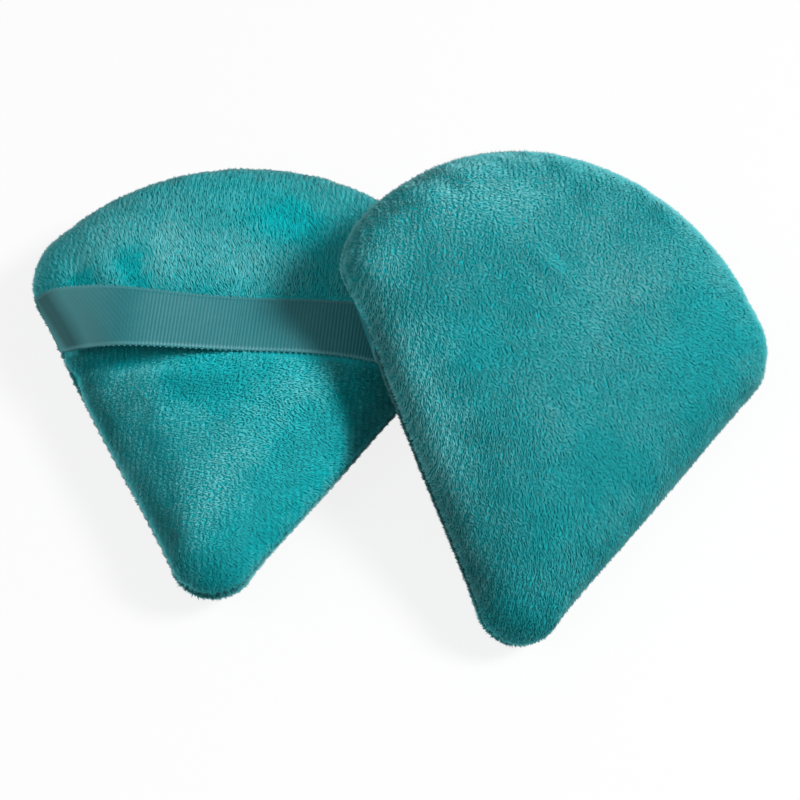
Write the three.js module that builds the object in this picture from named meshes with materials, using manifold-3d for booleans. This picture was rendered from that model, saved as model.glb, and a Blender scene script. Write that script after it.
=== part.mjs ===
// A pair of fan-shaped velour powder puffs. Each is a sponge pad between two velour panels, which are sewn
// together round the edge, with a grosgrain finger strap caught in the side seams across its back.
// The lower puff lies on its powder face with its strap up. The upper puff lies strap down, with one
// corner on the lower puff and the far side on the table.
// Millimetres, +Z up. The origin is the middle of the pair's footprint, on the table.
import * as THREE from "three";
import { mergeVertices } from "three/addons/utils/BufferGeometryUtils.js";
import Module from "manifold-3d";

const wasm = await Module();
wasm.setup();

// Fan outline, seen from above: an apex, two straight sides, two round corners and a top arc
const fanHeight = 79;
const fanWidth = 71.9;
const apexRadius = 6;
const cornerRadius = 11.6;
const cornerDrop = 25; // how far below the arc's top the round corners are centred
const sideBow = 0.6; // how far a side swells out past a straight line
const strapRow = 43; // height above the apex at which the puff's own origin lies

// Pillow section
const puffThickness = 19.4;
const restingCut = 0.5; // depth of the flat that the lower puff rests on
const sideExponent = 3.2; // a higher value gives a flatter top
const crownExponent = 2.1;

// Panels, seam and filling
const coverWall = 1.8; // base cloth and its pile
const seamGap = 0.3;
const seamAllowance = 4.2; // how far the sewn edges reach inwards
const allowanceThickness = 1.2;
const threadDiameter = 0.7;
const clearance = 0.3; // between pieces that touch

// Finger strap
const strapWidth = 10;
const strapThickness = 0.5;
const strapLift = 6.6; // free height under the loose strap, where nothing presses it
const strapClearance = 0.4; // where the strap hugs the velour
const strapEndRow = 2.2; // where the strap's middle meets the side seams
const strapMiddleRow = -3.6; // and where it crosses the back: it climbs as it wraps over the slanted sides
const strapSkew = 2.6; // how much it runs off square, low on the left and high on the right
const strapTwist = 2.3; // how much higher its upper edge stands than its middle, towards the seams
const strapTail = 3.4; // length of strap that is caught in the seam
const archSideExponent = 3.7; // the loose strap comes down mostly near the seam
const archCrownExponent = 1.5;
const slantShare = 0.5; // the strap's ribs start to turn parallel to the side at this share of its reach

// Where each strap's free middle lies, and over which shares of its reach the lower strap comes down to the
// velour, pressed by the upper puff's corner
const lowerSpan = [-22, 4];
const upperSpan = [-11, 5];
const pressStartShare = -0.8;
const pressEndShare = 0.17;

// How the pair lies: the upper puff's place beside the lower one
const upperAcross = 50;
const upperAlong = -4.3;
const upperTurn = THREE.MathUtils.degToRad(-0.9);
const seatClearance = 0.35; // between the two puffs where one lies on the other
const steepestTilt = THREE.MathUtils.degToRad(40);

// How finely curves are stepped
const apexSteps = 8;
const sideSteps = 6;
const cornerSteps = 7;
const arcSteps = 12;
const shellSteps = 7;
const innerSteps = 5;
const coreSteps = 4;
const threadSides = 5;
const strapEndSteps = 10;
const strapSpanSteps = 8;
const strapAcrossSteps = 3;
const crestSteps = 48;
const crestLines = 6;
const solveSteps = 24;

const halfWidth = fanWidth / 2;
const halfThickness = puffThickness / 2;
const strapSeamTop = clearance - seamGap / 2 + strapThickness; // the strap's upper face inside the seam

// The outline as points with outward normals, counter-clockwise from the apex
function fanOutline() {
  const cornerX = halfWidth - cornerRadius;
  const cornerY = fanHeight - cornerDrop;
  // the arc runs smoothly into both corner circles
  const arcRadius = (cornerX ** 2 + cornerDrop ** 2 - cornerRadius ** 2) / (2 * (cornerDrop - cornerRadius));
  const arcCentreY = fanHeight - arcRadius;
  const toCorner = new THREE.Vector2(cornerX, cornerY - apexRadius);
  // direction of the side's outward normal, which is square to the line that touches both circles
  const sideAngle = toCorner.angle() - Math.acos((cornerRadius - apexRadius) / toCorner.length());
  const arcAngle = Math.atan2(cornerY - arcCentreY, cornerX);
  const half = [];
  const addArc = (x, y, radius, from, to, steps) => {
    for (let i = 0; i < steps; i++) {
      const angle = from + ((to - from) * i) / steps;
      const normal = new THREE.Vector2(Math.cos(angle), Math.sin(angle));
      const point = normal.clone().multiplyScalar(radius).add(new THREE.Vector2(x, y));
      half.push({ point, normal });
    }
  };
  addArc(0, apexRadius, apexRadius, -Math.PI / 2, signedAngle(sideAngle), apexSteps / 2);
  const normal = new THREE.Vector2(Math.cos(sideAngle), Math.sin(sideAngle));
  const low = normal.clone().multiplyScalar(apexRadius).add(new THREE.Vector2(0, apexRadius));
  const high = normal.clone().multiplyScalar(cornerRadius).add(new THREE.Vector2(cornerX, cornerY));
  for (let i = 0; i < sideSteps; i++) {
    const share = i / sideSteps;
    const swell = sideBow * 4 * share * (1 - share);
    const point = low.clone().lerp(high, share).addScaledVector(normal, swell);
    half.push({ point, normal: normal.clone() });
  }
  addArc(cornerX, cornerY, cornerRadius, signedAngle(sideAngle), arcAngle, cornerSteps);
  addArc(0, arcCentreY, arcRadius, arcAngle, Math.PI / 2, arcSteps / 2);
  half.push({ point: new THREE.Vector2(0, fanHeight), normal: new THREE.Vector2(0, 1) });
  const mirrored = half
    .slice(1, -1)
    .reverse()
    .map((place) => ({
      point: new THREE.Vector2(-place.point.x, place.point.y),
      normal: new THREE.Vector2(-place.normal.x, place.normal.y),
    }));
  const all = [...half, ...mirrored];
  all.forEach((place) => (place.point.y -= strapRow));
  return all;
}

function signedAngle(angle) {
  return angle > Math.PI ? angle - 2 * Math.PI : angle;
}

const outline = fanOutline();

// One ring of points: the outline moved outwards by offset, drawn in to share of its size, at height z
function ring(offset, share, z) {
  return outline.map(({ point, normal }) => {
    const moved = point.clone().addScaledVector(normal, offset).multiplyScalar(share);
    return new THREE.Vector3(moved.x, moved.y, z);
  });
}

// The seam's own outline in plan, moved outwards by offset
const rims = new Map();
function rim(offset) {
  if (!rims.has(offset)) rims.set(offset, ring(offset, 1, 0));
  return rims.get(offset);
}

// The pillow's section: angle 0 is the crown and a quarter turn is the seam
const sectionShare = (angle) => Math.sin(angle) ** (2 / sideExponent);
const sectionHeight = (angle) => Math.max(Math.cos(angle), 0) ** (2 / crownExponent);
const angleAtHeight = (share) => Math.acos(share ** (crownExponent / 2));
const flatAngle = angleAtHeight((halfThickness - restingCut) / halfThickness);

// Rings of a pillow half from its crown to heightAtRim, with the whole surface moved outwards by offset
function pillowRings(offset, steps, heightAtRim) {
  const crown = halfThickness + offset;
  const rimAngle = angleAtHeight(heightAtRim / crown);
  const rings = [];
  for (let i = 0; i <= steps; i++) {
    const angle = flatAngle + ((rimAngle - flatAngle) * i) / steps;
    rings.push(ring(offset, sectionShare(angle), crown * sectionHeight(angle)));
  }
  return rings;
}

// Height of the pillow's back over a point in plan, or nothing where the point lies outside it
function pillowTop(x, y, offset) {
  const reach = reachTowards(Math.atan2(y, x), offset);
  const share = Math.hypot(x, y) / reach;
  if (share >= 1) return null;
  const rise = (1 - share ** sideExponent) ** (1 / crownExponent);
  return (halfThickness + offset) * rise;
}

// Distance from the puff's origin to its offset outline in one direction
function reachTowards(angle, offset) {
  const ray = new THREE.Vector2(Math.cos(angle), Math.sin(angle));
  const edge = rim(offset);
  for (let i = 0; i < edge.length; i++) {
    const a = edge[i];
    const b = edge[(i + 1) % edge.length];
    const crossA = ray.x * a.y - ray.y * a.x;
    const crossB = ray.x * b.y - ray.y * b.x;
    if (crossA > 0 || crossB <= 0) continue;
    const share = crossA / (crossA - crossB);
    return Math.hypot(a.x + (b.x - a.x) * share, a.y + (b.y - a.y) * share);
  }
  return halfWidth;
}

// Half the outline's width at a row, on the right-hand side
function halfWidthAt(y, offset) {
  const edge = rim(offset);
  for (let i = 0; i < edge.length / 2; i++) {
    const a = edge[i];
    const b = edge[i + 1];
    if (a.y <= y && b.y > y) return a.x + ((b.x - a.x) * (y - a.y)) / (b.y - a.y);
  }
  return halfWidth;
}

// Stitches rings of equal length into one closed surface. The ends close on a point, or on each other.
function skin(rings, ends) {
  const count = rings[0].length;
  const points = rings.flat();
  const faces = [];
  const rows = ends ? rings.length - 1 : rings.length;
  for (let row = 0; row < rows; row++) {
    const here = row * count;
    const next = ((row + 1) % rings.length) * count;
    for (let i = 0; i < count; i++) {
      const j = (i + 1) % count;
      faces.push(here + i, next + i, next + j, here + i, next + j, here + j);
    }
  }
  if (ends) {
    const first = points.push(ends[0]) - 1;
    const last = points.push(ends[1]) - 1;
    const start = (rings.length - 1) * count;
    for (let i = 0; i < count; i++) {
      const j = (i + 1) % count;
      faces.push(first, i, j, last, start + j, start + i);
    }
  }
  const geometry = new THREE.BufferGeometry().setFromPoints(points);
  geometry.setIndex(faces);
  geometry.computeVertexNormals();
  return geometry;
}

// The same shape turned over about the seam's plane
function turnedOver(geometry) {
  const made = geometry.clone().applyMatrix4(new THREE.Matrix4().makeScale(1, 1, -1));
  const index = made.index.array;
  for (let i = 0; i < index.length; i += 3) [index[i + 1], index[i + 2]] = [index[i + 2], index[i + 1]];
  made.computeVertexNormals();
  return made;
}

// A velour panel, back side up: a domed shell whose sewn edge turns inwards at the seam
function coverPanel(flat) {
  const seamFace = seamGap / 2;
  const allowanceTop = seamFace + allowanceThickness;
  const outer = pillowRings(0, shellSteps, seamFace);
  const inner = pillowRings(-coverWall, innerSteps, allowanceTop).reverse();
  const rings = [
    ...outer,
    ring(-seamAllowance, 1, seamFace),
    ring(-seamAllowance, 1, allowanceTop),
    ...inner,
  ];
  const crown = flat ? halfThickness - restingCut : halfThickness;
  const innerCrown = inner.at(-1)[0].z;
  return skin(rings, [new THREE.Vector3(0, 0, crown), new THREE.Vector3(0, 0, innerCrown)]);
}

// The sponge pad: it fills the two panels and stops short of their sewn edges
function spongePad() {
  const offset = -(coverWall + clearance);
  const ledge = seamGap / 2 + allowanceThickness + clearance;
  const waist = -(seamAllowance + threadDiameter + 2 * clearance);
  const half = pillowRings(offset, coreSteps, ledge);
  const flipped = (rings) => rings.map((points) => points.map((p) => p.clone().setZ(-p.z)));
  const rings = [...half, ring(waist, 1, ledge), ...flipped([...half, ring(waist, 1, ledge)]).reverse()];
  const crown = half[0][0].z;
  return skin(rings, [new THREE.Vector3(0, 0, crown), new THREE.Vector3(0, 0, -crown)]);
}

// The overlock thread that binds the two sewn edges, as one ring round the seam
function overlockThread() {
  const radius = threadDiameter / 2;
  const middle = -(seamAllowance + clearance + radius);
  const rings = [];
  for (let i = 0; i < threadSides; i++) {
    const angle = (-2 * Math.PI * i) / threadSides;
    rings.push(ring(middle + radius * Math.cos(angle), 1, radius * Math.sin(angle)));
  }
  return skin(rings, null);
}

// A point of the strap, before it meets the seam. side is -1 or 1, angle is 0 at the middle of the back and
// a quarter turn at the seam, and across runs from -1 to 1 over the width.
function strapPoint(side, angle, across, looseness, offset) {
  const share = sectionShare(angle);
  const loose = looseness(side * share);
  const top = halfThickness + strapLift;
  const archShare = Math.max(1 - share ** archSideExponent, 0) ** (1 / archCrownExponent);
  const climb = THREE.MathUtils.lerp(halfThickness * sectionHeight(angle), top * archShare, loose);
  const square = THREE.MathUtils.lerp(strapEndRow, strapMiddleRow, climb / top);
  const middle = square + side * strapSkew * share * (1 - share ** 2);
  const y = middle + (across * strapWidth) / 2;
  const slant = THREE.MathUtils.smoothstep(share, slantShare, 1);
  const reach = THREE.MathUtils.lerp(halfWidthAt(middle, offset), halfWidthAt(y, offset), slant);
  const x = side * reach * share;
  const outwards = offset - strapClearance;
  const hugging = pillowTop(x, y, offset) ?? 0;
  const arch = (top + outwards + strapTwist * across * share ** 2) * archShare;
  const z = THREE.MathUtils.lerp(hugging, Math.max(arch, hugging), loose);
  return new THREE.Vector3(x, y, Math.max(z, strapSeamTop - outwards));
}

// How loose each strap is at a share of its reach: 1 where it stands free and 0 where it hugs the velour
const lowerLooseness = (share) => 1 - THREE.MathUtils.smoothstep(share, pressStartShare, pressEndShare);
const upperLooseness = () => 0;

// Angle at which the strap stands at a given distance from the puff's middle
function strapAngleAt(side, x, looseness) {
  let low = 0;
  let high = Math.PI / 2;
  for (let i = 0; i < solveSteps; i++) {
    const angle = (low + high) / 2;
    if (Math.abs(strapPoint(side, angle, 0, looseness, strapClearance).x) < Math.abs(x)) low = angle;
    else high = angle;
  }
  return low;
}

// Closes a run of cross-sections, each a ring of points round the strap, into a solid
function strapRun(sections) {
  const count = sections[0].length;
  const points = sections.flat();
  const faces = [];
  for (let row = 0; row < sections.length - 1; row++) {
    for (let i = 0; i < count; i++) {
      const j = (i + 1) % count;
      const here = row * count;
      const next = here + count;
      faces.push(here + i, next + j, next + i, here + i, here + j, next + j);
    }
  }
  const last = (sections.length - 1) * count;
  for (let i = 0; i < count / 2 - 1; i++) {
    const j = count - 1 - i;
    faces.push(i, j - 1, i + 1, i, j, j - 1);
    faces.push(last + i, last + i + 1, last + j - 1, last + i, last + j - 1, last + j);
  }
  const geometry = new THREE.BufferGeometry().setFromPoints(points);
  geometry.setIndex(faces);
  geometry.computeVertexNormals();
  return geometry;
}

// One cross-section of the strap: the inner face one way, then the outer face the other way
function strapSection(side, angle, looseness) {
  const inner = [];
  const outer = [];
  for (let i = 0; i <= strapAcrossSteps; i++) {
    const across = (2 * i) / strapAcrossSteps - 1;
    inner.push(strapPoint(side, angle, across, looseness, strapClearance));
    outer.push(strapPoint(side, angle, across, looseness, strapClearance + strapThickness));
  }
  return [...inner, ...outer.reverse()];
}

// The cross-section at the raw end of the strap, inside the seam
function strapTailSection(side) {
  const place = (i, z) => {
    const row = strapEndRow + (i / strapAcrossSteps - 1 / 2) * strapWidth;
    return new THREE.Vector3(side * (halfWidthAt(row, 0) - strapTail), row, z);
  };
  const inner = [];
  const outer = [];
  for (let i = 0; i <= strapAcrossSteps; i++) {
    inner.push(place(i, strapSeamTop));
    outer.push(place(i, strapSeamTop - strapThickness));
  }
  return [...inner, ...outer.reverse()];
}

// The free middle of the strap, from left to right
function strapSpan(span, looseness) {
  const sections = [];
  for (let i = 0; i <= strapSpanSteps; i++) {
    const x = THREE.MathUtils.lerp(span[0], span[1], i / strapSpanSteps);
    const side = x < 0 ? -1 : 1;
    sections.push(strapSection(side, strapAngleAt(side, x, looseness), looseness));
  }
  return strapRun(sections);
}

// One end of the strap: from the free middle over the shoulder and down the side, into the seam
function strapEnd(side, span, looseness) {
  const from = strapAngleAt(side, (side < 0 ? span[0] : span[1]) + side * clearance, looseness);
  const sections = [];
  for (let i = 0; i <= strapEndSteps; i++) {
    const angle = THREE.MathUtils.lerp(from, Math.PI / 2, i / strapEndSteps);
    sections.push(strapSection(side, angle, looseness));
  }
  sections.push(strapTailSection(side));
  if (side < 0) sections.reverse();
  return strapRun(sections);
}

function toSolid(geometry) {
  const bare = geometry.clone();
  bare.deleteAttribute("normal");
  const merged = mergeVertices(bare);
  return new wasm.Manifold(
    new wasm.Mesh({
      numProp: 3,
      vertProperties: merged.attributes.position.array,
      triVerts: new Uint32Array(merged.index.array),
    }),
  );
}

function toGeometry(solid) {
  const mesh = solid.getMesh();
  const geometry = new THREE.BufferGeometry();
  geometry.setAttribute("position", new THREE.BufferAttribute(mesh.vertProperties, 3));
  geometry.setIndex(new THREE.BufferAttribute(mesh.triVerts, 1));
  geometry.computeVertexNormals();
  return geometry;
}

// Notches in the back panel's sewn edge, where the strap's two ends pass through the seam
function withStrapSlots(panel) {
  const width = strapWidth + 2 * clearance;
  const top = strapSeamTop + clearance;
  const inner = halfWidthAt(strapEndRow - width / 2, 0) - strapTail - seamAllowance;
  const outer = halfWidthAt(strapEndRow + width / 2, 0) + seamAllowance;
  let solid = toSolid(panel);
  for (const side of [-1, 1]) {
    const slot = new THREE.BoxGeometry(outer - inner, width, 2 * top);
    slot.translate((side * (outer + inner)) / 2, strapEndRow, 0);
    slot.deleteAttribute("uv");
    solid = solid.subtract(toSolid(slot));
  }
  return toGeometry(solid);
}

const velour = new THREE.MeshStandardMaterial({ color: 0x2c9b98, roughness: 0.95, metalness: 0 });
const velourFace = new THREE.MeshStandardMaterial({ color: 0x2a9490, roughness: 0.95, metalness: 0 });
const grosgrain = new THREE.MeshStandardMaterial({ color: 0x4c9c9c, roughness: 0.55, metalness: 0 });
const sponge = new THREE.MeshStandardMaterial({ color: 0xefe6cf, roughness: 0.9, metalness: 0 });
const thread = new THREE.MeshStandardMaterial({ color: 0x24817e, roughness: 0.7, metalness: 0 });

// One whole puff, strap side up
function makePuff(name, resting, span, looseness) {
  const puff = new THREE.Group();
  const add = (piece, geometry, material) => {
    const mesh = new THREE.Mesh(geometry, material);
    mesh.name = `${name}_${piece}`;
    puff.add(mesh);
  };
  add("face_panel", turnedOver(coverPanel(resting)), velourFace);
  add("back_panel", withStrapSlots(coverPanel(false)), velour);
  add("sponge_pad", spongePad(), sponge);
  add("overlock_thread", overlockThread(), thread);
  add("strap_span", strapSpan(span, looseness), grosgrain);
  add("strap_left_end", strapEnd(-1, span, looseness), grosgrain);
  add("strap_right_end", strapEnd(1, span, looseness), grosgrain);
  return puff;
}

// The upper puff is turned strap down and tilts about the line of its right-hand side
function poseUpper(puff, tilt) {
  const sideLow = outline[apexSteps / 2].point;
  const sideHigh = outline[apexSteps / 2 + sideSteps].point;
  const sideLine = new THREE.Vector3(sideHigh.x - sideLow.x, sideHigh.y - sideLow.y, 0).normalize();
  const turn = new THREE.Quaternion().setFromAxisAngle(new THREE.Vector3(0, 0, 1), upperTurn);
  const turnOver = new THREE.Quaternion().setFromAxisAngle(new THREE.Vector3(0, 1, 0), Math.PI);
  const tiltAxis = sideLine.applyQuaternion(turn);
  puff.quaternion.setFromAxisAngle(tiltAxis, tilt).multiply(turn).multiply(turnOver);
  puff.position.set(upperAcross, upperAlong, 0);
  puff.position.z -= new THREE.Box3().setFromObject(puff, true).min.z;
  puff.updateMatrixWorld(true);
}

// The lower strap's outer face as lines from left to right, spread over its width
function strapLines() {
  const lines = [];
  for (let line = 0; line <= crestLines; line++) {
    const points = [];
    for (const side of [-1, 1]) {
      for (let i = 0; i <= crestSteps; i++) {
        const angle = (Math.PI / 2) * (side < 0 ? 1 - i / crestSteps : i / crestSteps);
        const across = (2 * line) / crestLines - 1;
        points.push(strapPoint(side, angle, across, lowerLooseness, strapClearance + strapThickness));
      }
    }
    lines.push(points);
  }
  return lines;
}

// Top of the lower puff over a point in plan: its back or, where a strap line runs there, its strap
function topOfLower(x, y, lines) {
  let top = pillowTop(x, y, 0);
  for (const line of lines) {
    const next = line.findIndex((p) => p.x > x);
    if (next < 1) continue;
    const share = (x - line[next - 1].x) / (line[next].x - line[next - 1].x);
    const strap = line[next - 1].clone().lerp(line[next], share);
    if (Math.abs(y - strap.y) < strapWidth / crestLines) top = Math.max(strap.z, top ?? 0);
  }
  return top;
}

// Least height of the upper puff over the lower one
function seatGap(lower, upper, lines) {
  let gap = Infinity;
  for (const mesh of upper.children) {
    const places = mesh.geometry.attributes.position;
    for (let i = 0; i < places.count; i++) {
      const p = new THREE.Vector3().fromBufferAttribute(places, i).applyMatrix4(mesh.matrixWorld);
      const top = topOfLower(p.x, p.y, lines);
      if (top !== null) gap = Math.min(gap, p.z - lower.position.z - top);
    }
  }
  return gap;
}

// Tilts the upper puff until it lies on the lower one with seatClearance between them
function settle(lower, upper, lines) {
  let low = 0;
  let high = steepestTilt;
  for (let i = 0; i < solveSteps; i++) {
    const tilt = (low + high) / 2;
    poseUpper(upper, tilt);
    if (seatGap(lower, upper, lines) < seatClearance) low = tilt;
    else high = tilt;
  }
  poseUpper(upper, high);
}

const pair = new THREE.Group();
const lower = makePuff("lower", true, lowerSpan, lowerLooseness);
const upper = makePuff("upper", false, upperSpan, upperLooseness);
lower.position.z = halfThickness - restingCut;
settle(lower, upper, strapLines());
pair.add(lower, upper);

// Stands the pair on its footprint's middle
const footprint = new THREE.Box3().setFromObject(pair, true);
const middle = footprint.getCenter(new THREE.Vector3());
for (const puff of [lower, upper]) {
  puff.position.x -= middle.x;
  puff.position.y -= middle.y;
  puff.position.z -= footprint.min.z;
}

export default pair;
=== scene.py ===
"""Dresses a pair of velour powder puffs: velour covers with their pile, sponge fillings, overlocked seams
and grosgrain finger straps, on a pale studio floor. Lengths in the forms are millimetres in a puff's own
coordinates, strap side up, and every finished mesh is in metres in the frame's coordinates."""

import math

import bmesh
import bpy
import numpy as np
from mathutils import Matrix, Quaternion, Vector, noise
from mathutils.kdtree import KDTree


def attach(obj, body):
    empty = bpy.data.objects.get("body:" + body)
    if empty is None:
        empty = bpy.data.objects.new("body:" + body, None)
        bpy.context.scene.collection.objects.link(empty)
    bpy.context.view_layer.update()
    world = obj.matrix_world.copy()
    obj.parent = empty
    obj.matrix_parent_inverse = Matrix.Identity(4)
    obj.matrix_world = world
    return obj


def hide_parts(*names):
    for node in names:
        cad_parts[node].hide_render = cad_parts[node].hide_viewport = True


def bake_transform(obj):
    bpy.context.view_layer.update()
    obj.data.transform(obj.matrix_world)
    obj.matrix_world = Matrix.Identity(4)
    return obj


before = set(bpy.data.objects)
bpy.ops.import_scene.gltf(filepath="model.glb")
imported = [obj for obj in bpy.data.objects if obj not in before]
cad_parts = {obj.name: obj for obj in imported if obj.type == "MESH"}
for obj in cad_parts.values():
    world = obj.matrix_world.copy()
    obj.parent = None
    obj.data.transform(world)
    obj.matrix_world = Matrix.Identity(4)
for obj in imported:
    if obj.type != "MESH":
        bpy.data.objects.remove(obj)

bl_info = {
    "name": "Velour powder puffs",
    "version": (1, 0, 0),
    "blender": (4, 5, 0),
    "location": "3D View > Sidebar > Puffs",
    "description": "Velour covers, sponge fillings and grosgrain finger straps for a pair of powder puffs",
    "category": "Object",
}

MM = 0.001

# Sizes that the CAD solids have, in millimetres
FAN_HEIGHT = 79.0
FAN_WIDTH = 71.9
APEX_RADIUS = 6.0
CORNER_RADIUS = 11.6
CORNER_DROP = 25.0
SIDE_BOW = 0.6
STRAP_ROW = 43.0
HALF_THICKNESS = 9.7
SIDE_EXPONENT = 3.2
CROWN_EXPONENT = 2.1
RESTING_CUT = 0.5
COVER_WALL = 1.8
SEAM_GAP = 0.3
SEAM_ALLOWANCE = 4.2
THREAD_DIAMETER = 0.7
CLEARANCE = 0.3
STRAP_WIDTH = 10.0
STRAP_THICKNESS = 0.5
STRAP_LIFT = 6.6
STRAP_CLEARANCE = 0.4
STRAP_END_ROW = 2.2
STRAP_MIDDLE_ROW = -3.6
STRAP_SKEW = 2.6
STRAP_TWIST = 2.3
STRAP_TAIL = 3.4
ARCH_SIDE_EXPONENT = 3.7
ARCH_CROWN_EXPONENT = 1.5
SLANT_SHARE = 0.5
PRESS_START_SHARE = -0.8
PRESS_END_SHARE = 0.17
STRAP_SEAM_TOP = CLEARANCE - SEAM_GAP / 2 + STRAP_THICKNESS
STRAP_SINK = 0.6  # how far the dressed ribbon draws into the pile where it reaches the seam

# Where each puff lies: the place of its own origin in millimetres, and its turn as w, x, y, z
PLACES = {
    "lower": (Vector((-23.9950, 4.9375, 9.2)), Quaternion((1, 0, 0, 0))),
    "upper": (Vector((26.0050, 0.6375, 16.9219)), Quaternion((-0.1996425, 0.0076271, 0.9710952, 0.1306096))),
}

# Brushed patches of the pile, in a puff's own plan: x, y, half length, half width, turn in degrees, then
# tone, which is above 0 where pale fibre tips show, partly a painted sheen, and below 0 where the pile lies smooth
# and saturated, and how much brighter the patch is, as a share, partly the pile's lie and partly painted light and
# shade
BRUSHED_PATCHES_AND_PAINTED_LIGHT = {
    ("lower", "back"): [
        (-28.5, 9, 3, 2.5, 0, 0.4, 0.2),
        (-27, 5.5, 2.2, 1.6, 0, -1.0, 0.08),
        (-24, 7, 1.2, 4, 15, 0.2, -0.2),
        (-18, 7.2, 2.2, 4.6, 12, -1.3, 0.12),
        (-14, 14, 4, 7, 10, 1.3, 0.2),
        (-24, 17, 5, 5, 0, 0.9, 0.22),
        (-2, 11, 8, 4.5, -25, 0.8, 0.1),
        (5, 20.5, 5, 4, 0, -1.1, 0.15),
        # painted light: paler just below the lower strap's left half
        (-20, -12, 6, 2.6, 0, 0.8, 0.4),
        (-20, -7.5, 10, 1.5, 3, -0.6, 0.1),
        # painted shade: the strip at the lower puff's left edge
        (-34, 0, 2, 6, 10, -0.4, -0.35),
        (-16, -20, 4, 9, 25, 0.4, 0.15),
        (-6, -13, 6, 3, 0, -1.1, -0.3),
        (2.5, -10.5, 5, 3, 0, -0.7, -0.2),
        (-1, -20, 6, 4, -20, 0.0, -0.12),
        (-11, -17, 5, 3, -30, 0.4, 0.1),
        (11, -14, 4.5, 4, 0, 0.6, 0.0),
        (-1.5, -26.5, 8, 7, 0, 0.6, 0.03),
        (-3.7, -34, 4, 5, 0, 0.6, 0.1),
        (12, -21, 3.4, 10, -30, -1.7, -0.2),
        (5, -36, 3, 7, -28, -1.2, -0.22),
        (-12, -27, 3, 8, 25, 0.1, 0.2),
        (1, -43, 5, 4, 0, -0.4, -0.2),
    ],
    ("upper", "face"): [
        (12, 25, 17, 8, 8, 0.7, 0.25),
        (33, 8, 3.5, 8, 0, 1.0, 0.5),
        (26, 21, 8, 7, -40, 0.7, 0.3),
        # painted light: these three brighten the band along the upper puff's left side, which the lamps leave darker
        (25.5, -6, 4.6, 8, -22, 1.2, 0.85),
        (18.5, -18, 4.2, 8, -28, 1.2, 0.85),
        (11, -32, 2.8, 8, -28, 1.0, 0.45),
        (16.5, 0, 5, 6, 0, -0.6, 0.08),
        (22.5, 14, 5, 4, 0, 0.5, 0.04),
        (-2.5, 13.5, 6, 4, 20, 0.8, 0.06),
        (-9, 17, 5, 4, 0, 0.5, 0.04),
        (4.5, -8.5, 5, 3, 50, 0.5, 0.04),
        (-6, -15.5, 5, 6, 0, -0.9, -0.08),
        (-0.5, -26, 5, 5, 0, -0.6, -0.04),
        (-22.5, 8.5, 7, 9, 0, -1.0, -0.06),
        (-22, -5, 5, 6, 0, -0.3, -0.1),
        (0, -41, 7, 5, 0, -0.6, -0.1),
        (-12, -28, 3, 9, 30, -0.5, -0.08),
    ],
    ("lower", "face"): [(-10, 10, 12, 8, 20, 0.4, 0.05), (12, -8, 9, 7, 0, -0.5, -0.05)],
    ("upper", "back"): [(14, 14, 12, 7, -20, 0.4, 0.05), (-8, -20, 8, 9, 0, -0.5, -0.05)],
}

# Soft folds and dents pressed into the filled cover: two ends, half width, and height outwards
SOFT_FOLDS = {
    ("lower", "back"): [
        (-30, 11, -27, 3, 1.6, -0.55),
        (-26.5, 13, -22, 5, 1.8, 0.45),
        (-21.5, 11, -17, 4, 1.6, -0.4),
        (-15, 12, -12, 5, 2.0, 0.3),
        (2, 26, 16, 20, 2.4, 0.3),
        (-3, 8, 4, 3, 3.0, 0.25),
        (-24, -9, 6, -9.5, 1.6, -0.5),
        (-29, -7, -11, -8.5, 1.7, -1.0),
    ],
    ("upper", "face"): [
        (10.5, 15, 3.5, 12, 1.5, 0.4),
        (9, 17.5, 1.5, 14, 1.6, -0.3),
        (24, 3, 14, -14, 3.0, 0.25),
        (-8, -10, -18, 2, 3.5, -0.2),
    ],
    ("lower", "face"): [],
    ("upper", "back"): [(-20, 8, -12, 12, 2.5, -0.3)],
}

# How far the filled sides stand out, and where they do so more or less: x, y, reach, and how much
SIDE_SWELL = 0.5
SIDE_SWELLS = {
    "lower": [(0, -44, 11, 0.7), (-35, 12, 8, 0.25), (-35, -1, 6, -0.5), (22, -10, 12, -0.4)],
    "upper": [(0, -44, 11, 0.6), (-36, 9, 10, 0.5), (37, 7, 6.5, 1.0), (33, -5, 3.0, -0.9)],
}


def paint(red, green, blue):
    """A colour written as 0 to 255, as the linear values that a material holds."""
    return tuple(v / 3294.6 if v <= 10.31 else ((v / 255 + 0.055) / 1.055) ** 2.4 for v in (red, green, blue))


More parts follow.
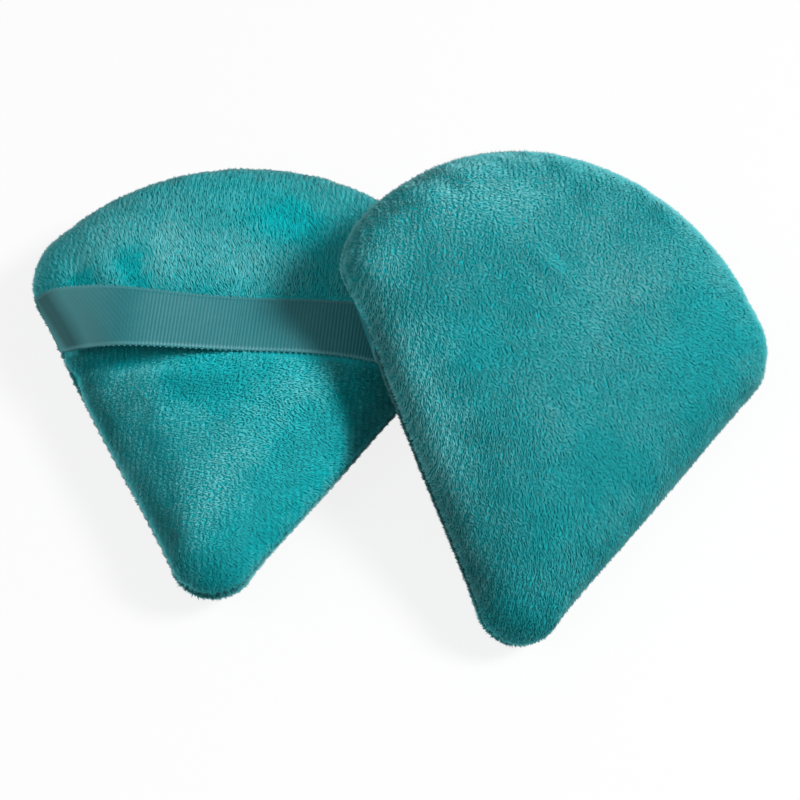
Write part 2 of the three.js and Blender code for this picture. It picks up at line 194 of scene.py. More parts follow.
class PuffVelourSettings(bpy.types.PropertyGroup):
    """Sizes and colours of the velour covers."""

    pile_height: bpy.props.FloatProperty(
        name="Pile height", description="Length of a tuft", default=0.00085, unit="LENGTH"
    )
    tuft_width: bpy.props.FloatProperty(
        name="Tuft width", description="Width of a tuft at its root", default=0.0003, unit="LENGTH"
    )
    tuft_spacing: bpy.props.FloatProperty(
        name="Tuft spacing", description="Mean distance between tufts", default=0.00024, unit="LENGTH"
    )
    nap_lean: bpy.props.FloatProperty(
        name="Nap lean", description="How far the tufts lean with the nap", default=1.1, min=0
    )
    nap_scatter: bpy.props.FloatProperty(
        name="Nap scatter", description="How far single tufts stray from the nap", default=0.22, min=0
    )
    wale_pitch: bpy.props.FloatProperty(
        name="Wale pitch", description="Distance between the knit's columns", default=0.00095, unit="LENGTH"
    )
    wall: bpy.props.FloatProperty(
        name="Base cloth", description="Thickness of the knitted ground", default=0.0011, unit="LENGTH"
    )
    groove: bpy.props.FloatProperty(
        name="Seam groove", description="How deep the seam draws the cover in", default=0.0002, unit="LENGTH"
    )
    # painted shade: the tufts' roots and the ground between them are painted darker, where shade falls deep in the
    # pile
    root_shade_colour: bpy.props.FloatVectorProperty(
        name="Root colour", description="Colour between the tufts", default=paint(0, 176, 183), subtype="COLOR"
    )
    body_colour: bpy.props.FloatVectorProperty(
        name="Body colour", description="Colour of the tufts", default=paint(0, 198, 205), subtype="COLOR"
    )
    # partly the fibre tips' own paler colour, partly painted sheen
    pale_tip_and_sheen_colour: bpy.props.FloatVectorProperty(
        name="Tip colour", description="Colour of the palest fibre tips", default=paint(150, 214, 216), subtype="COLOR"
    )
    seed: bpy.props.IntProperty(name="Seed", description="Changes the scatter of the tufts", default=7)


class PuffStrapSettings(bpy.types.PropertyGroup):
    """Sizes and colours of the straps, the filling and the thread."""

    rib_pitch: bpy.props.FloatProperty(
        name="Rib pitch", description="Distance between the grosgrain's ribs", default=0.00056, unit="LENGTH"
    )
    rib_depth: bpy.props.FloatProperty(
        name="Rib depth", description="Height of a rib over its valley", default=0.00006, unit="LENGTH"
    )
    picot_pitch: bpy.props.FloatProperty(
        name="Picot pitch", description="Distance between the edge loops", default=0.00092, unit="LENGTH"
    )
    ridge_colour: bpy.props.FloatVectorProperty(
        name="Rib colour", description="Colour on top of the ribs", default=paint(27, 126, 133), subtype="COLOR"
    )
    # painted shade: the valleys between the ribs are painted darker
    valley_shade_colour: bpy.props.FloatVectorProperty(
        name="Valley colour", description="Colour between the ribs", default=paint(10, 102, 109), subtype="COLOR"
    )
    sponge_colour: bpy.props.FloatVectorProperty(
        name="Sponge colour", description="Colour of the filling", default=paint(238, 228, 202), subtype="COLOR"
    )
    thread_colour: bpy.props.FloatVectorProperty(
        name="Thread colour", description="Colour of the overlock thread", default=paint(28, 132, 130), subtype="COLOR"
    )
    stitch_pitch: bpy.props.FloatProperty(
        name="Stitch pitch", description="Distance between overlock loops", default=0.0016, unit="LENGTH"
    )


class PuffStageSettings(bpy.types.PropertyGroup):
    """The studio's lamps and floor."""

    key_power: bpy.props.FloatProperty(
        name="Key lamp", description="Power of the large soft lamp", default=7.8, unit="POWER"
    )
    fill_power: bpy.props.FloatProperty(
        name="Fill lamp", description="Power of the broad lamp on the left", default=1.6, unit="POWER"
    )
    sky_strength: bpy.props.FloatProperty(
        name="Sky", description="Strength of the white surroundings", default=0.22, min=0
    )
    floor_colour: bpy.props.FloatVectorProperty(
        name="Floor colour", description="Colour of the floor", default=(0.86, 0.86, 0.86), subtype="COLOR"
    )


# ---------------------------------------------------------------- the puff's form


def fan_outline():
    """Points and outward normals round the seam, counter-clockwise from the apex."""
    corner_x = FAN_WIDTH / 2 - CORNER_RADIUS
    corner_y = FAN_HEIGHT - CORNER_DROP
    arc_radius = (corner_x**2 + CORNER_DROP**2 - CORNER_RADIUS**2) / (2 * (CORNER_DROP - CORNER_RADIUS))
    arc_y = FAN_HEIGHT - arc_radius
    reach = math.hypot(corner_x, corner_y - APEX_RADIUS)
    side = math.atan2(corner_y - APEX_RADIUS, corner_x) - math.acos((CORNER_RADIUS - APEX_RADIUS) / reach)
    turn = math.atan2(corner_y - arc_y, corner_x)
    points, normals = [], []

    def add_arc(x, y, radius, start, end, steps):
        for angle in np.linspace(start, end, steps, endpoint=False):
            normal = np.array((math.cos(angle), math.sin(angle)))
            points.append(np.array((x, y)) + radius * normal)
            normals.append(normal)

    add_arc(0, APEX_RADIUS, APEX_RADIUS, -math.pi / 2, side, 12)
    normal = np.array((math.cos(side), math.sin(side)))
    low = np.array((0, APEX_RADIUS)) + APEX_RADIUS * normal
    high = np.array((corner_x, corner_y)) + CORNER_RADIUS * normal
    for share in np.linspace(0, 1, 30, endpoint=False):
        points.append(low + (high - low) * share + normal * SIDE_BOW * 4 * share * (1 - share))
        normals.append(normal)
    add_arc(corner_x, corner_y, CORNER_RADIUS, side, turn, 20)
    add_arc(0, arc_y, arc_radius, turn, math.pi / 2, 24)
    points.append(np.array((0, FAN_HEIGHT)))
    normals.append(np.array((0.0, 1.0)))
    points, normals = np.array(points), np.array(normals)
    mirror = np.array((-1, 1))
    points = np.concatenate((points, points[1:-1][::-1] * mirror))
    normals = np.concatenate((normals, normals[1:-1][::-1] * mirror))
    return points - np.array((0, STRAP_ROW)), normals


OUTLINE, OUTLINE_NORMALS = fan_outline()
RIGHT_HALF = len(OUTLINE) // 2 + 1


def rim(offset):
    """The seam's outline moved outwards."""
    return OUTLINE + OUTLINE_NORMALS * offset


def half_width_at(row, offset):
    """Half the outline's width at a row."""
    edge = rim(offset)[:RIGHT_HALF]
    return np.interp(row, edge[:, 1], edge[:, 0])


def reach_towards(x, y, offset):
    """Distance from the puff's origin to its offset outline, in the direction of a point."""
    edge = rim(offset)
    angles = np.unwrap(np.arctan2(edge[:, 1], edge[:, 0]))
    lengths = np.hypot(edge[:, 0], edge[:, 1])
    wanted = np.mod(np.arctan2(y, x) - angles[0], 2 * math.pi) + angles[0]
    return np.interp(wanted, np.append(angles, angles[0] + 2 * math.pi), np.append(lengths, lengths[0]))


def pillow_top(x, y, offset):
    """Height of the puff's back over points in plan."""
    share = np.clip(np.hypot(x, y) / reach_towards(x, y, offset), 0, 1)
    return (HALF_THICKNESS + offset) * (1 - share**SIDE_EXPONENT) ** (1 / CROWN_EXPONENT)


def smoothstep(value, low, high):
    """0 at low and 1 at high, with a soft start and end."""
    share = np.clip((value - low) / (high - low), 0, 1)
    return share * share * (3 - 2 * share)


def loose_lower(share):
    """The lower strap stands free on the left and is pressed down on the right."""
    return 1 - smoothstep(share, PRESS_START_SHARE, PRESS_END_SHARE)


def loose_upper(share):
    """The upper strap is pressed flat all along."""
    return np.zeros_like(share)


LOOSENESS = {"lower": loose_lower, "upper": loose_upper}


def strap_points(side, angle, across, looseness, offset):
    """Points of the strap. angle is 0 at the middle of the back and a quarter turn at the seam."""
    share = np.sin(angle) ** (2 / SIDE_EXPONENT)
    loose = looseness(side * share)
    top = HALF_THICKNESS + STRAP_LIFT
    arch_share = np.clip(1 - share**ARCH_SIDE_EXPONENT, 0, 1) ** (1 / ARCH_CROWN_EXPONENT)
    hugging_climb = HALF_THICKNESS * np.clip(np.cos(angle), 0, 1) ** (2 / CROWN_EXPONENT)
    climb = hugging_climb + (top * arch_share - hugging_climb) * loose
    middle = STRAP_END_ROW + (STRAP_MIDDLE_ROW - STRAP_END_ROW) * climb / top
    middle = middle + side * STRAP_SKEW * share * (1 - share**2)
    y = middle + across * STRAP_WIDTH / 2
    slant = smoothstep(share, SLANT_SHARE, 1)
    reach = half_width_at(middle, offset) * (1 - slant) + half_width_at(y, offset) * slant
    x = side * reach * share
    outwards = offset - STRAP_CLEARANCE
    hugging = pillow_top(x, y, offset)
    arch = (top + outwards + STRAP_TWIST * across * share**2) * arch_share
    z = hugging + (np.maximum(arch, hugging) - hugging) * loose
    sunk = side * STRAP_SINK * smoothstep(share, 0.9, 1)
    return np.stack((x - sunk, y, np.maximum(z, STRAP_SEAM_TOP - outwards)), -1)


def to_frame(puff, points):
    """Points in a puff's own millimetres as metres in the frame."""
    origin, turn = PLACES[puff]
    matrix = np.array(turn.to_matrix())
    return (np.asarray(points) @ matrix.T + np.array(origin)) * MM


def directions_to_frame(puff, directions):
    """Directions in a puff's own coordinates, turned into the frame's."""
    return np.asarray(directions) @ np.array(PLACES[puff][1].to_matrix()).T


# ---------------------------------------------------------------- meshes and node trees


def mesh_object(name, points, faces=(), edges=()):
    """A new object at the frame's origin, with its place in its mesh."""
    mesh = bpy.data.meshes.new(name)
    mesh.from_pydata([tuple(p) for p in points], [tuple(e) for e in edges], [tuple(f) for f in faces])
    mesh.update()
    made = bpy.data.objects.new(name, mesh)
    bpy.context.scene.collection.objects.link(made)
    return made


def coordinates(mesh):
    """The places of a mesh's points."""
    places = np.empty(len(mesh.vertices) * 3, np.float32)
    mesh.vertices.foreach_get("co", places)
    return places.reshape(-1, 3).astype(float)


def set_coordinates(mesh, places):
    """Moves a mesh's points."""
    mesh.vertices.foreach_set("co", np.asarray(places, np.float32).ravel())
    mesh.update()


def vertex_normals(mesh):
    normals = np.empty(len(mesh.vertices) * 3, np.float32)
    mesh.vertex_normals.foreach_get("vector", normals)
    return normals.reshape(-1, 3).astype(float)


def store(mesh, name, values):
    """Keeps a number or a direction on every point of a mesh."""
    values = np.asarray(values, np.float32)
    if values.ndim == 1:
        mesh.attributes.new(name, "FLOAT", "POINT").data.foreach_set("value", values)
    else:
        mesh.attributes.new(name, "FLOAT_VECTOR", "POINT").data.foreach_set("vector", values.ravel())


def made_plain(piece):
    """Turns what an object's modifiers make into its plain mesh, and removes the modifiers."""
    evaluated = piece.evaluated_get(bpy.context.evaluated_depsgraph_get())
    mesh = bpy.data.meshes.new_from_object(evaluated)
    piece.modifiers.clear()
    piece.data = mesh
    mesh.name = piece.name
    return piece


def shade_smooth(piece):
    piece.data.polygons.foreach_set("use_smooth", [True] * len(piece.data.polygons))
    return piece


def remove(piece):
    bpy.data.objects.remove(piece, do_unlink=True)


def add_node(tree, kind, inputs=(), **settings):
    """Adds a node with its settings, and gives its inputs a value or a link."""
    node = tree.nodes.new(kind)
    for key, value in settings.items():
        setattr(node, key, value)
    for key, value in dict(inputs).items():
        if isinstance(value, bpy.types.NodeSocket):
            tree.links.new(value, node.inputs[key])
        else:
            node.inputs[key].default_value = value
    return node


def sums(tree, operation, first, second=0.0, third=0.0, clamp=False):
    """Works out one sum from values or links, and gives its result."""
    node = add_node(tree, "ShaderNodeMath", operation=operation, use_clamp=clamp)
    for socket, value in zip(node.inputs, (first, second, third)):
        if isinstance(value, bpy.types.NodeSocket):
            tree.links.new(value, socket)
        else:
            socket.default_value = value
    return node.outputs[0]


def geometry_tree(name, sizes):
    """A geometry tree that takes a mesh and named sizes, and gives a mesh."""
    tree = bpy.data.node_groups.new(name, "GeometryNodeTree")
    tree.interface.new_socket("Geometry", in_out="INPUT", socket_type="NodeSocketGeometry")
    for label, kind, value in sizes:
        socket = tree.interface.new_socket(label, in_out="INPUT", socket_type=kind)
        if value is not None:
            socket.default_value = value
    tree.interface.new_socket("Geometry", in_out="OUTPUT", socket_type="NodeSocketGeometry")
    return tree, tree.nodes.new("NodeGroupInput")


def run_tree(piece, tree, values):
    """Runs a geometry tree on a piece with these inputs, and keeps the result as its mesh."""
    modifier = piece.modifiers.new(tree.name, "NODES")
    modifier.node_group = tree
    for item in tree.interface.items_tree:
        if item.item_type == "SOCKET" and item.in_out == "INPUT" and item.name in values:
            modifier[item.identifier] = values[item.name]
    return made_plain(piece)


def shader_group(name, sockets_in, sockets_out):
    """A shader node group with named inputs and outputs."""
    tree = bpy.data.node_groups.new(name, "ShaderNodeTree")
    for label, kind, value in sockets_in:
        socket = tree.interface.new_socket(label, in_out="INPUT", socket_type=kind)
        if value is not None:
            socket.default_value = value
    for label, kind in sockets_out:
        tree.interface.new_socket(label, in_out="OUTPUT", socket_type=kind)
    return tree, tree.nodes.new("NodeGroupInput"), tree.nodes.new("NodeGroupOutput")


def place_group(tree, group, inputs):
    """Places a shared effect in a material, with its own values."""
    node = tree.nodes.new("ShaderNodeGroup")
    node.node_tree = bpy.data.node_groups[group]
    for key, value in inputs.items():
        if isinstance(value, bpy.types.NodeSocket):
            tree.links.new(value, node.inputs[key])
        else:
            node.inputs[key].default_value = value
    return node


def new_material(name):
    """A material with its Principled shader, ready for colour, roughness and relief."""
    material = bpy.data.materials.new(name)
    material.use_nodes = True
    tree = material.node_tree
    tree.nodes.clear()
    shader = tree.nodes.new("ShaderNodeBsdfPrincipled")
    output = tree.nodes.new("ShaderNodeOutputMaterial")
    tree.links.new(shader.outputs[0], output.inputs["Surface"])
    return material, tree, shader


def mix_colour(tree, share, first, second):
    """Mixes two colours, the second by its share."""
    node = tree.nodes.new("ShaderNodeMix")
    node.data_type = "RGBA"
    for socket, value in zip((node.inputs[0], node.inputs[6], node.inputs[7]), (share, first, second)):
        if isinstance(value, bpy.types.NodeSocket):
            tree.links.new(value, socket)
        else:
            socket.default_value = value if socket == node.inputs[0] else (*value[:3], 1)
    return node.outputs[2]


def attribute(tree, name, output="Fac"):
    return add_node(tree, "ShaderNodeAttribute", attribute_name=name).outputs[output]


def remap(tree, value, low, high, to_low=0.0, to_high=1.0):
    """Takes a value from one range to another, and no further than its ends."""
    node = add_node(tree, "ShaderNodeMapRange", {0: value, 1: low, 2: high, 3: to_low, 4: to_high})
    return node.outputs[0]


WALE_WOBBLE = 0.35  # how far the knit's columns wander, in millimetres


def wale_wave(tree, place, pitch, wobble):
    """The knit's columns: 1 on a column and 0 between two, in a shader tree or a geometry tree."""
    drift = add_node(tree, "ShaderNodeTexNoise", {"Vector": place, "Scale": 0.3, "Detail": 2.0})
    parts = add_node(tree, "ShaderNodeSeparateXYZ", {0: place})
    spread = sums(tree, "MULTIPLY", wobble, 4.0)
    turns = sums(tree, "DIVIDE", sums(tree, "MULTIPLY_ADD", drift.outputs[0], spread, parts.outputs[0]), pitch)
    wave = sums(tree, "COSINE", sums(tree, "MULTIPLY", turns, 2 * math.pi))
    return sums(tree, "MULTIPLY_ADD", wave, 0.5, 0.5)


# ---------------------------------------------------------------- shared effects


def build_shared_effects():
    """Node groups that more than one material uses. Places are in millimetres."""
    tree, given, result = shader_group(
        "Fibre flecks",
        [
            ("Place", "NodeSocketVector", None),
            ("Size", "NodeSocketFloat", 0.4),
            ("Contrast", "NodeSocketFloat", 0.5),
        ],
        [("Fleck", "NodeSocketFloat"), ("Relief", "NodeSocketFloat")],
    )
    scale = sums(tree, "DIVIDE", 1.0, given.outputs["Size"])
    grain = add_node(
        tree,
        "ShaderNodeTexNoise",
        {"Vector": given.outputs["Place"], "Scale": scale, "Detail": 3.0, "Roughness": 0.6},
    )
    spread = sums(tree, "SUBTRACT", grain.outputs[0], 0.5)
    spread = sums(tree, "MULTIPLY", spread, sums(tree, "MULTIPLY", given.outputs["Contrast"], 4.0))
    tree.links.new(sums(tree, "ADD", spread, 0.5, clamp=True), result.inputs["Fleck"])
    tree.links.new(grain.outputs[0], result.inputs["Relief"])

    # on the velour this Light drives the pile's pale tips, partly painted sheen; on the ribbon it drives wear
    tree, given, result = shader_group(
        "Brushed nap",
        [
            ("Place", "NodeSocketVector", None),
            ("Patch Size", "NodeSocketFloat", 9.0),
            ("Tone", "NodeSocketFloat", 0.0),
        ],
        [("Light", "NodeSocketFloat")],
    )
    scale = sums(tree, "DIVIDE", 1.0, given.outputs["Patch Size"])
    patches = add_node(
        tree,
        "ShaderNodeTexNoise",
        {"Vector": given.outputs["Place"], "Scale": scale, "Detail": 4.0, "Roughness": 0.62, "Distortion": 0.6},
    )
    streaks = add_node(tree, "ShaderNodeMapping", {"Vector": given.outputs["Place"], "Rotation": (0, 0, -0.6)})
    streaks.inputs["Scale"].default_value = (0.35, 1.5, 1.0)
    fine = add_node(tree, "ShaderNodeTexNoise", {"Vector": streaks.outputs[0], "Scale": 0.9, "Detail": 3.0})
    broad = sums(tree, "MULTIPLY", patches.outputs[0], 0.7)
    both = sums(tree, "ADD", broad, sums(tree, "MULTIPLY", fine.outputs[0], 0.3))
    toned = sums(tree, "MULTIPLY", given.outputs["Tone"], 0.85)
    light = sums(tree, "ADD", remap(tree, both, 0.34, 0.66, 0.0, 0.75), toned)
    tree.links.new(sums(tree, "MAXIMUM", sums(tree, "MINIMUM", light, 1.3), -0.3), result.inputs["Light"])

    tree, given, result = shader_group(
        "Knit wales",
        [
            ("Place", "NodeSocketVector", None),
            ("Pitch", "NodeSocketFloat", 0.95),
            ("Wobble", "NodeSocketFloat", WALE_WOBBLE),
        ],
        [("Wale", "NodeSocketFloat")],
    )
    wave = wale_wave(tree, given.outputs["Place"], given.outputs["Pitch"], given.outputs["Wobble"])
    tree.links.new(wave, result.inputs["Wale"])


# ---------------------------------------------------------------- materials


# Painted light and shade: the face's pile is painted darker and the back's brighter, for how the lamps light each side
PANEL_PAINTED_LIGHT = {"face": 0.76, "back": 1.08}
COVER_SHADING = 3.0  # how much more the pile shades as its cover does than as its single tufts do
# painted sheen: how much paler and brighter the pile is painted where it is seen edge-on
EDGE_PAINTED_PALENESS, EDGE_PAINTED_SHEEN = 0.75, 0.7


def velour_materials(velour):
    """The ground cloth and the pile, for the powder face and for the back."""
    made = {}
    for side, painted_level in PANEL_PAINTED_LIGHT.items():
        pile, tree, shader = new_material(f"velour_{side}_pile")
        place = attribute(tree, "puff_place", "Vector")
        tip = attribute(tree, "tuft_tip")
        shade = attribute(tree, "tuft_shade")
        nap = place_group(tree, "Brushed nap", {"Place": place, "Tone": attribute(tree, "nap_tone_and_painted_sheen")})
        wale = place_group(tree, "Knit wales", {"Place": place, "Pitch": velour.wale_pitch / MM})
        fleck = place_group(tree, "Fibre flecks", {"Place": place, "Size": 0.5, "Contrast": 0.6})
        # painted shade: the tuft is painted darker from its tip down to its root
        body = mix_colour(tree, remap(tree, tip, 0.0, 0.75), velour.root_shade_colour, velour.body_colour)
        # pale fibre tips and flecks: partly their own paler colour, partly painted sheen and glints
        flecked = sums(tree, "MULTIPLY_ADD", sums(tree, "MAXIMUM", nap.outputs["Light"], 0.0), 0.5, 0.06)
        flecks = sums(tree, "MULTIPLY", sums(tree, "SUBTRACT", shade, 0.6), flecked)
        # seen along the cloth, as at its outline, the pile is painted paler and brighter: a painted sheen that follows
        # the view
        cover_normal = attribute(tree, "cover_normal", "Vector")
        edge_on = add_node(tree, "ShaderNodeLayerWeight", {"Blend": 0.35, "Normal": cover_normal}).outputs["Facing"]
        edge_on = sums(tree, "POWER", edge_on, 2.0)
        tip_paleness_and_sheen = sums(tree, "MULTIPLY_ADD", edge_on, EDGE_PAINTED_PALENESS, flecks)
        tip_paleness_and_sheen = sums(tree, "MULTIPLY_ADD", nap.outputs["Light"], 0.55, tip_paleness_and_sheen)
        tip_paleness_and_sheen = sums(tree, "ADD", tip_paleness_and_sheen, sums(tree, "MULTIPLY_ADD", wale.outputs["Wale"], 0.16, -0.08))
        tip_paleness_and_sheen = sums(tree, "ADD", tip_paleness_and_sheen, sums(tree, "MULTIPLY_ADD", fleck.outputs["Fleck"], 0.12, -0.06))
        tip_paleness_and_sheen = sums(tree, "MAXIMUM", tip_paleness_and_sheen, 0.0)
        colour = mix_colour(tree, sums(tree, "MULTIPLY", tip_paleness_and_sheen, tip), body, velour.pale_tip_and_sheen_colour)
        # painted light and shade: the side's painted level, raised or lowered by the patches' brightness
        level = sums(tree, "MULTIPLY_ADD", attribute(tree, "nap_and_painted_light"), painted_level, painted_level)
        # painted shade: the pile is painted darker in the gaps between the knit's columns
        gap = sums(tree, "MULTIPLY", sums(tree, "SUBTRACT", 1.0, wale.outputs["Wale"]), attribute(tree, "wale_show"))
        level = sums(tree, "MULTIPLY", level, sums(tree, "MULTIPLY_ADD", gap, -0.3, 1.0))
        # painted sheen: the pile is painted brighter where its cover is seen edge-on
        level = sums(tree, "MULTIPLY", level, sums(tree, "MULTIPLY_ADD", edge_on, EDGE_PAINTED_SHEEN, 1.0))
        levelled = add_node(tree, "ShaderNodeVectorMath", {0: colour, "Scale": level}, operation="SCALE")
        tree.links.new(levelled.outputs[0], shader.inputs["Base Color"])
        # the tufts shade partly as the cover does, because a real tuft is a soft brush of fibres
        own = tree.nodes.new("ShaderNodeNewGeometry").outputs["Normal"]
        soft = add_node(tree, "ShaderNodeVectorMath", {0: cover_normal, "Scale": COVER_SHADING}, operation="SCALE")
        blended = add_node(tree, "ShaderNodeVectorMath", {0: own, 1: soft.outputs[0]}, operation="ADD")
        facing = add_node(tree, "ShaderNodeVectorMath", {0: blended.outputs[0]}, operation="NORMALIZE")
        tree.links.new(facing.outputs[0], shader.inputs["Normal"])
        shader.inputs["Roughness"].default_value = 0.6
        shader.inputs["Specular IOR Level"].default_value = 0.2
        shader.inputs["Sheen Weight"].default_value = 0.05
        shader.inputs["Sheen Roughness"].default_value = 0.5
        shader.inputs["Sheen Tint"].default_value = (0.75, 1, 1, 1)
        made[side, "pile"] = pile

        ground, tree, shader = new_material(f"velour_{side}_ground")
        place = attribute(tree, "puff_place", "Vector")
        nap = place_group(tree, "Brushed nap", {"Place": place, "Tone": attribute(tree, "nap_tone_and_painted_sheen")})
        wale = place_group(tree, "Knit wales", {"Place": place, "Pitch": velour.wale_pitch / MM})
        fleck = place_group(tree, "Fibre flecks", {"Place": place, "Size": 0.3, "Contrast": 0.8})
        lit = sums(tree, "MULTIPLY_ADD", nap.outputs["Light"], 0.4, 0.35)
        share = sums(tree, "MULTIPLY", fleck.outputs["Fleck"], lit)
        colour = mix_colour(tree, share, velour.root_shade_colour, velour.body_colour)
        tree.links.new(colour, shader.inputs["Base Color"])
        relief = sums(tree, "MULTIPLY_ADD", wale.outputs["Wale"], 0.5, fleck.outputs["Relief"])
        bump = add_node(tree, "ShaderNodeBump", {"Height": relief, "Strength": 0.7, "Distance": 0.0003})
        tree.links.new(bump.outputs[0], shader.inputs["Normal"])
        shader.inputs["Roughness"].default_value = 0.9
        shader.inputs["Specular IOR Level"].default_value = 0.2
        shader.inputs["Sheen Weight"].default_value = 0.2
        made[side, "ground"] = ground
    return made


RIB_SLANT = 0.9
SLANTED_PITCH = 1.6  # how much farther apart the slanting ribs lie than the straight ones


def grosgrain_material(strap):
    """Ribbed ribbon: pale rib tops, valleys painted darker as painted shade, and fine yarn across each rib. Lengths on
    it are millimetres along the ribbon from its middle, below 0 to the left, and across it."""
    material, tree, shader = new_material("grosgrain_ribbon")
    place = attribute(tree, "strap_place", "Vector")
    rib = attribute(tree, "rib_height")
    yarn_place = add_node(tree, "ShaderNodeMapping", {"Vector": place})
    yarn_place.inputs["Scale"].default_value = (1.0, 5.0, 1.0)
    fleck = place_group(tree, "Fibre flecks", {"Place": yarn_place.outputs[0], "Size": 0.9, "Contrast": 0.5})
    nap = place_group(tree, "Brushed nap", {"Place": place, "Patch Size": 6.0, "Tone": 0.0})
    along, over, _ = add_node(tree, "ShaderNodeSeparateXYZ", {0: place}).outputs
    # towards the left end the ribs are pulled slanting
    slanted = sums(tree, "MULTIPLY_ADD", over, RIB_SLANT, along)
    turns = 2 * math.pi / (SLANTED_PITCH * strap.rib_pitch / MM)
    slanted = sums(tree, "COSINE", sums(tree, "MULTIPLY", slanted, turns))
    slanted = sums(tree, "MULTIPLY_ADD", slanted, 0.38, 0.5)
    turned = remap(tree, along, -13, -21)
    rib = sums(tree, "MULTIPLY_ADD", turned, sums(tree, "SUBTRACT", slanted, rib), rib)
    # painted shade: rib tops pale and valleys dark, also where the slanting ribs have no relief
    share = sums(tree, "MULTIPLY_ADD", fleck.outputs["Fleck"], 0.25, sums(tree, "MULTIPLY", rib, 0.75))
    colour = mix_colour(tree, share, strap.valley_shade_colour, strap.ridge_colour)
    worn = sums(tree, "MULTIPLY", nap.outputs["Light"], 0.08)
    colour = mix_colour(tree, worn, colour, paint(120, 190, 194))
    # painted light: the ribbon is painted paler towards its left end, which turns away from the lamp
    colour = mix_colour(tree, remap(tree, along, -19, -31, 0.0, 0.55), colour, paint(110, 196, 202))
    # painted shade: a dark band lies across the ribbon just before the seam, where it turns down
    painted_fold_shade = sums(tree, "MULTIPLY_ADD", over, 0.45, along)
    painted_fold_shade = sums(tree, "MULTIPLY", remap(tree, painted_fold_shade, -28, -33), remap(tree, painted_fold_shade, -40, -36.5, 0.3, 1.0))
    colour = mix_colour(tree, sums(tree, "MULTIPLY", painted_fold_shade, 0.85), colour, paint(0, 84, 88))
    selvedge = remap(tree, sums(tree, "ABSOLUTE", over), 4.45, 4.75, 0.0, 0.3)
    colour = mix_colour(tree, selvedge, colour, paint(110, 190, 196))
    tree.links.new(colour, shader.inputs["Base Color"])
    bump = add_node(tree, "ShaderNodeBump", {"Height": fleck.outputs["Relief"], "Strength": 0.5, "Distance": 0.00012})
    tree.links.new(bump.outputs[0], shader.inputs["Normal"])
    dull = remap(tree, along, -22, -29, 0.0, 0.4)
    roughness = sums(tree, "ADD", remap(tree, fleck.outputs["Fleck"], 0, 1, 0.45, 0.6), dull)
    tree.links.new(roughness, shader.inputs["Roughness"])
    shader.inputs["Specular IOR Level"].default_value = 0.6
    return material


def sponge_material(strap):
    """Open-cell foam."""
    material, tree, shader = new_material("sponge_foam")
    place = add_node(tree, "ShaderNodeTexCoord").outputs["Object"]
    cells = add_node(tree, "ShaderNodeTexVoronoi", {"Vector": place, "Scale": 1400.0}, feature="F1")
    depth = remap(tree, cells.outputs["Distance"], 0.1, 0.6)
    fleck = place_group(tree, "Fibre flecks", {"Place": place, "Size": 0.0015, "Contrast": 0.5})
    # painted shade: the foam is painted darker in the pits of its cells
    colour = mix_colour(tree, depth, paint(196, 178, 142), strap.sponge_colour)
    colour = mix_colour(tree, sums(tree, "MULTIPLY", fleck.outputs["Fleck"], 0.2), colour, paint(252, 246, 228))
    tree.links.new(colour, shader.inputs["Base Color"])
    bump = add_node(tree, "ShaderNodeBump", {"Height": depth, "Strength": 0.8, "Distance": 0.0004})
    tree.links.new(bump.outputs[0], shader.inputs["Normal"])
    tree.links.new(remap(tree, depth, 0, 1, 0.95, 0.8), shader.inputs["Roughness"])
    return material


def thread_material(strap):
    """Spun sewing thread with its ply."""
    material, tree, shader = new_material("overlock_thread_spun")
    place = add_node(tree, "ShaderNodeTexCoord").outputs["Object"]
    ply = add_node(tree, "ShaderNodeTexWave", {"Vector": place, "Scale": 1100.0, "Distortion": 2.0, "Detail": 2.0})
    fleck = place_group(tree, "Fibre flecks", {"Place": place, "Size": 0.0004, "Contrast": 0.6})
    share = sums(tree, "MULTIPLY_ADD", ply.outputs["Fac"], 0.6, sums(tree, "MULTIPLY", fleck.outputs["Fleck"], 0.3))
    # painted shade: the thread is painted darker in the grooves of its ply
    colour = mix_colour(tree, share, paint(14, 92, 94), strap.thread_colour)
    tree.links.new(colour, shader.inputs["Base Color"])
    bump = add_node(tree, "ShaderNodeBump", {"Height": ply.outputs["Fac"], "Strength": 0.6, "Distance": 0.0001})
    tree.links.new(bump.outputs[0], shader.inputs["Normal"])
    shader.inputs["Roughness"].default_value = 0.6
    return material


# ---------------------------------------------------------------- velour covers

SIM_SCALE = 10.0  # the cloth is worked at ten times its size, where the solver's defaults behave
SIM_CELL = 1.25
SIM_FRAMES = 18
SIM_PINNED = 0.9  # the cover is held this near its seam
START_DRAW_IN = 0.2  # the cover starts this much inside the pile's surface, and its filling swells it
GREATEST_MOVE = 0.3
MEAN_REACH = 34.0  # from a puff's middle to its seam, for spacing the rings of its cover
RESTING_ROOM = 0.4  # the lower cover's ground keeps this much over the table
COVER_LOWEST = 0.0002  # metres over the table, where a cover rests on it
TUFT_LOWEST = 0.00002
STRAP_NEAR, STRAP_FAR = 0.7, 1.3  # the pile is pressed down nearer to a strap than this, and free past it
PRESSED_PILE = 0.12
SEAM_PILE = 0.85
PAINTED_SIDE_SHADE = 0.6  # painted shade: how much darker the pile is painted on the upper puff's lower left side
RAGGED_SEED = 8  # noise_vector starts from the clock unless it has a seed


def pillow_sections(offset, count):
    """Shares of the outline and heights from the crown to the seam, evenly spaced along the section."""
    angle = np.linspace(0, math.pi / 2, 400)
    share = np.sin(angle) ** (2 / SIDE_EXPONENT)
    height = (HALF_THICKNESS + offset) * np.clip(np.cos(angle), 0, 1) ** (2 / CROWN_EXPONENT)
    walked = np.concatenate(((0,), np.cumsum(np.hypot(np.diff(share * MEAN_REACH), np.diff(height)))))
    even = np.linspace(0, walked[-1], count)
    return np.interp(even, walked, share), np.interp(even, walked, height)


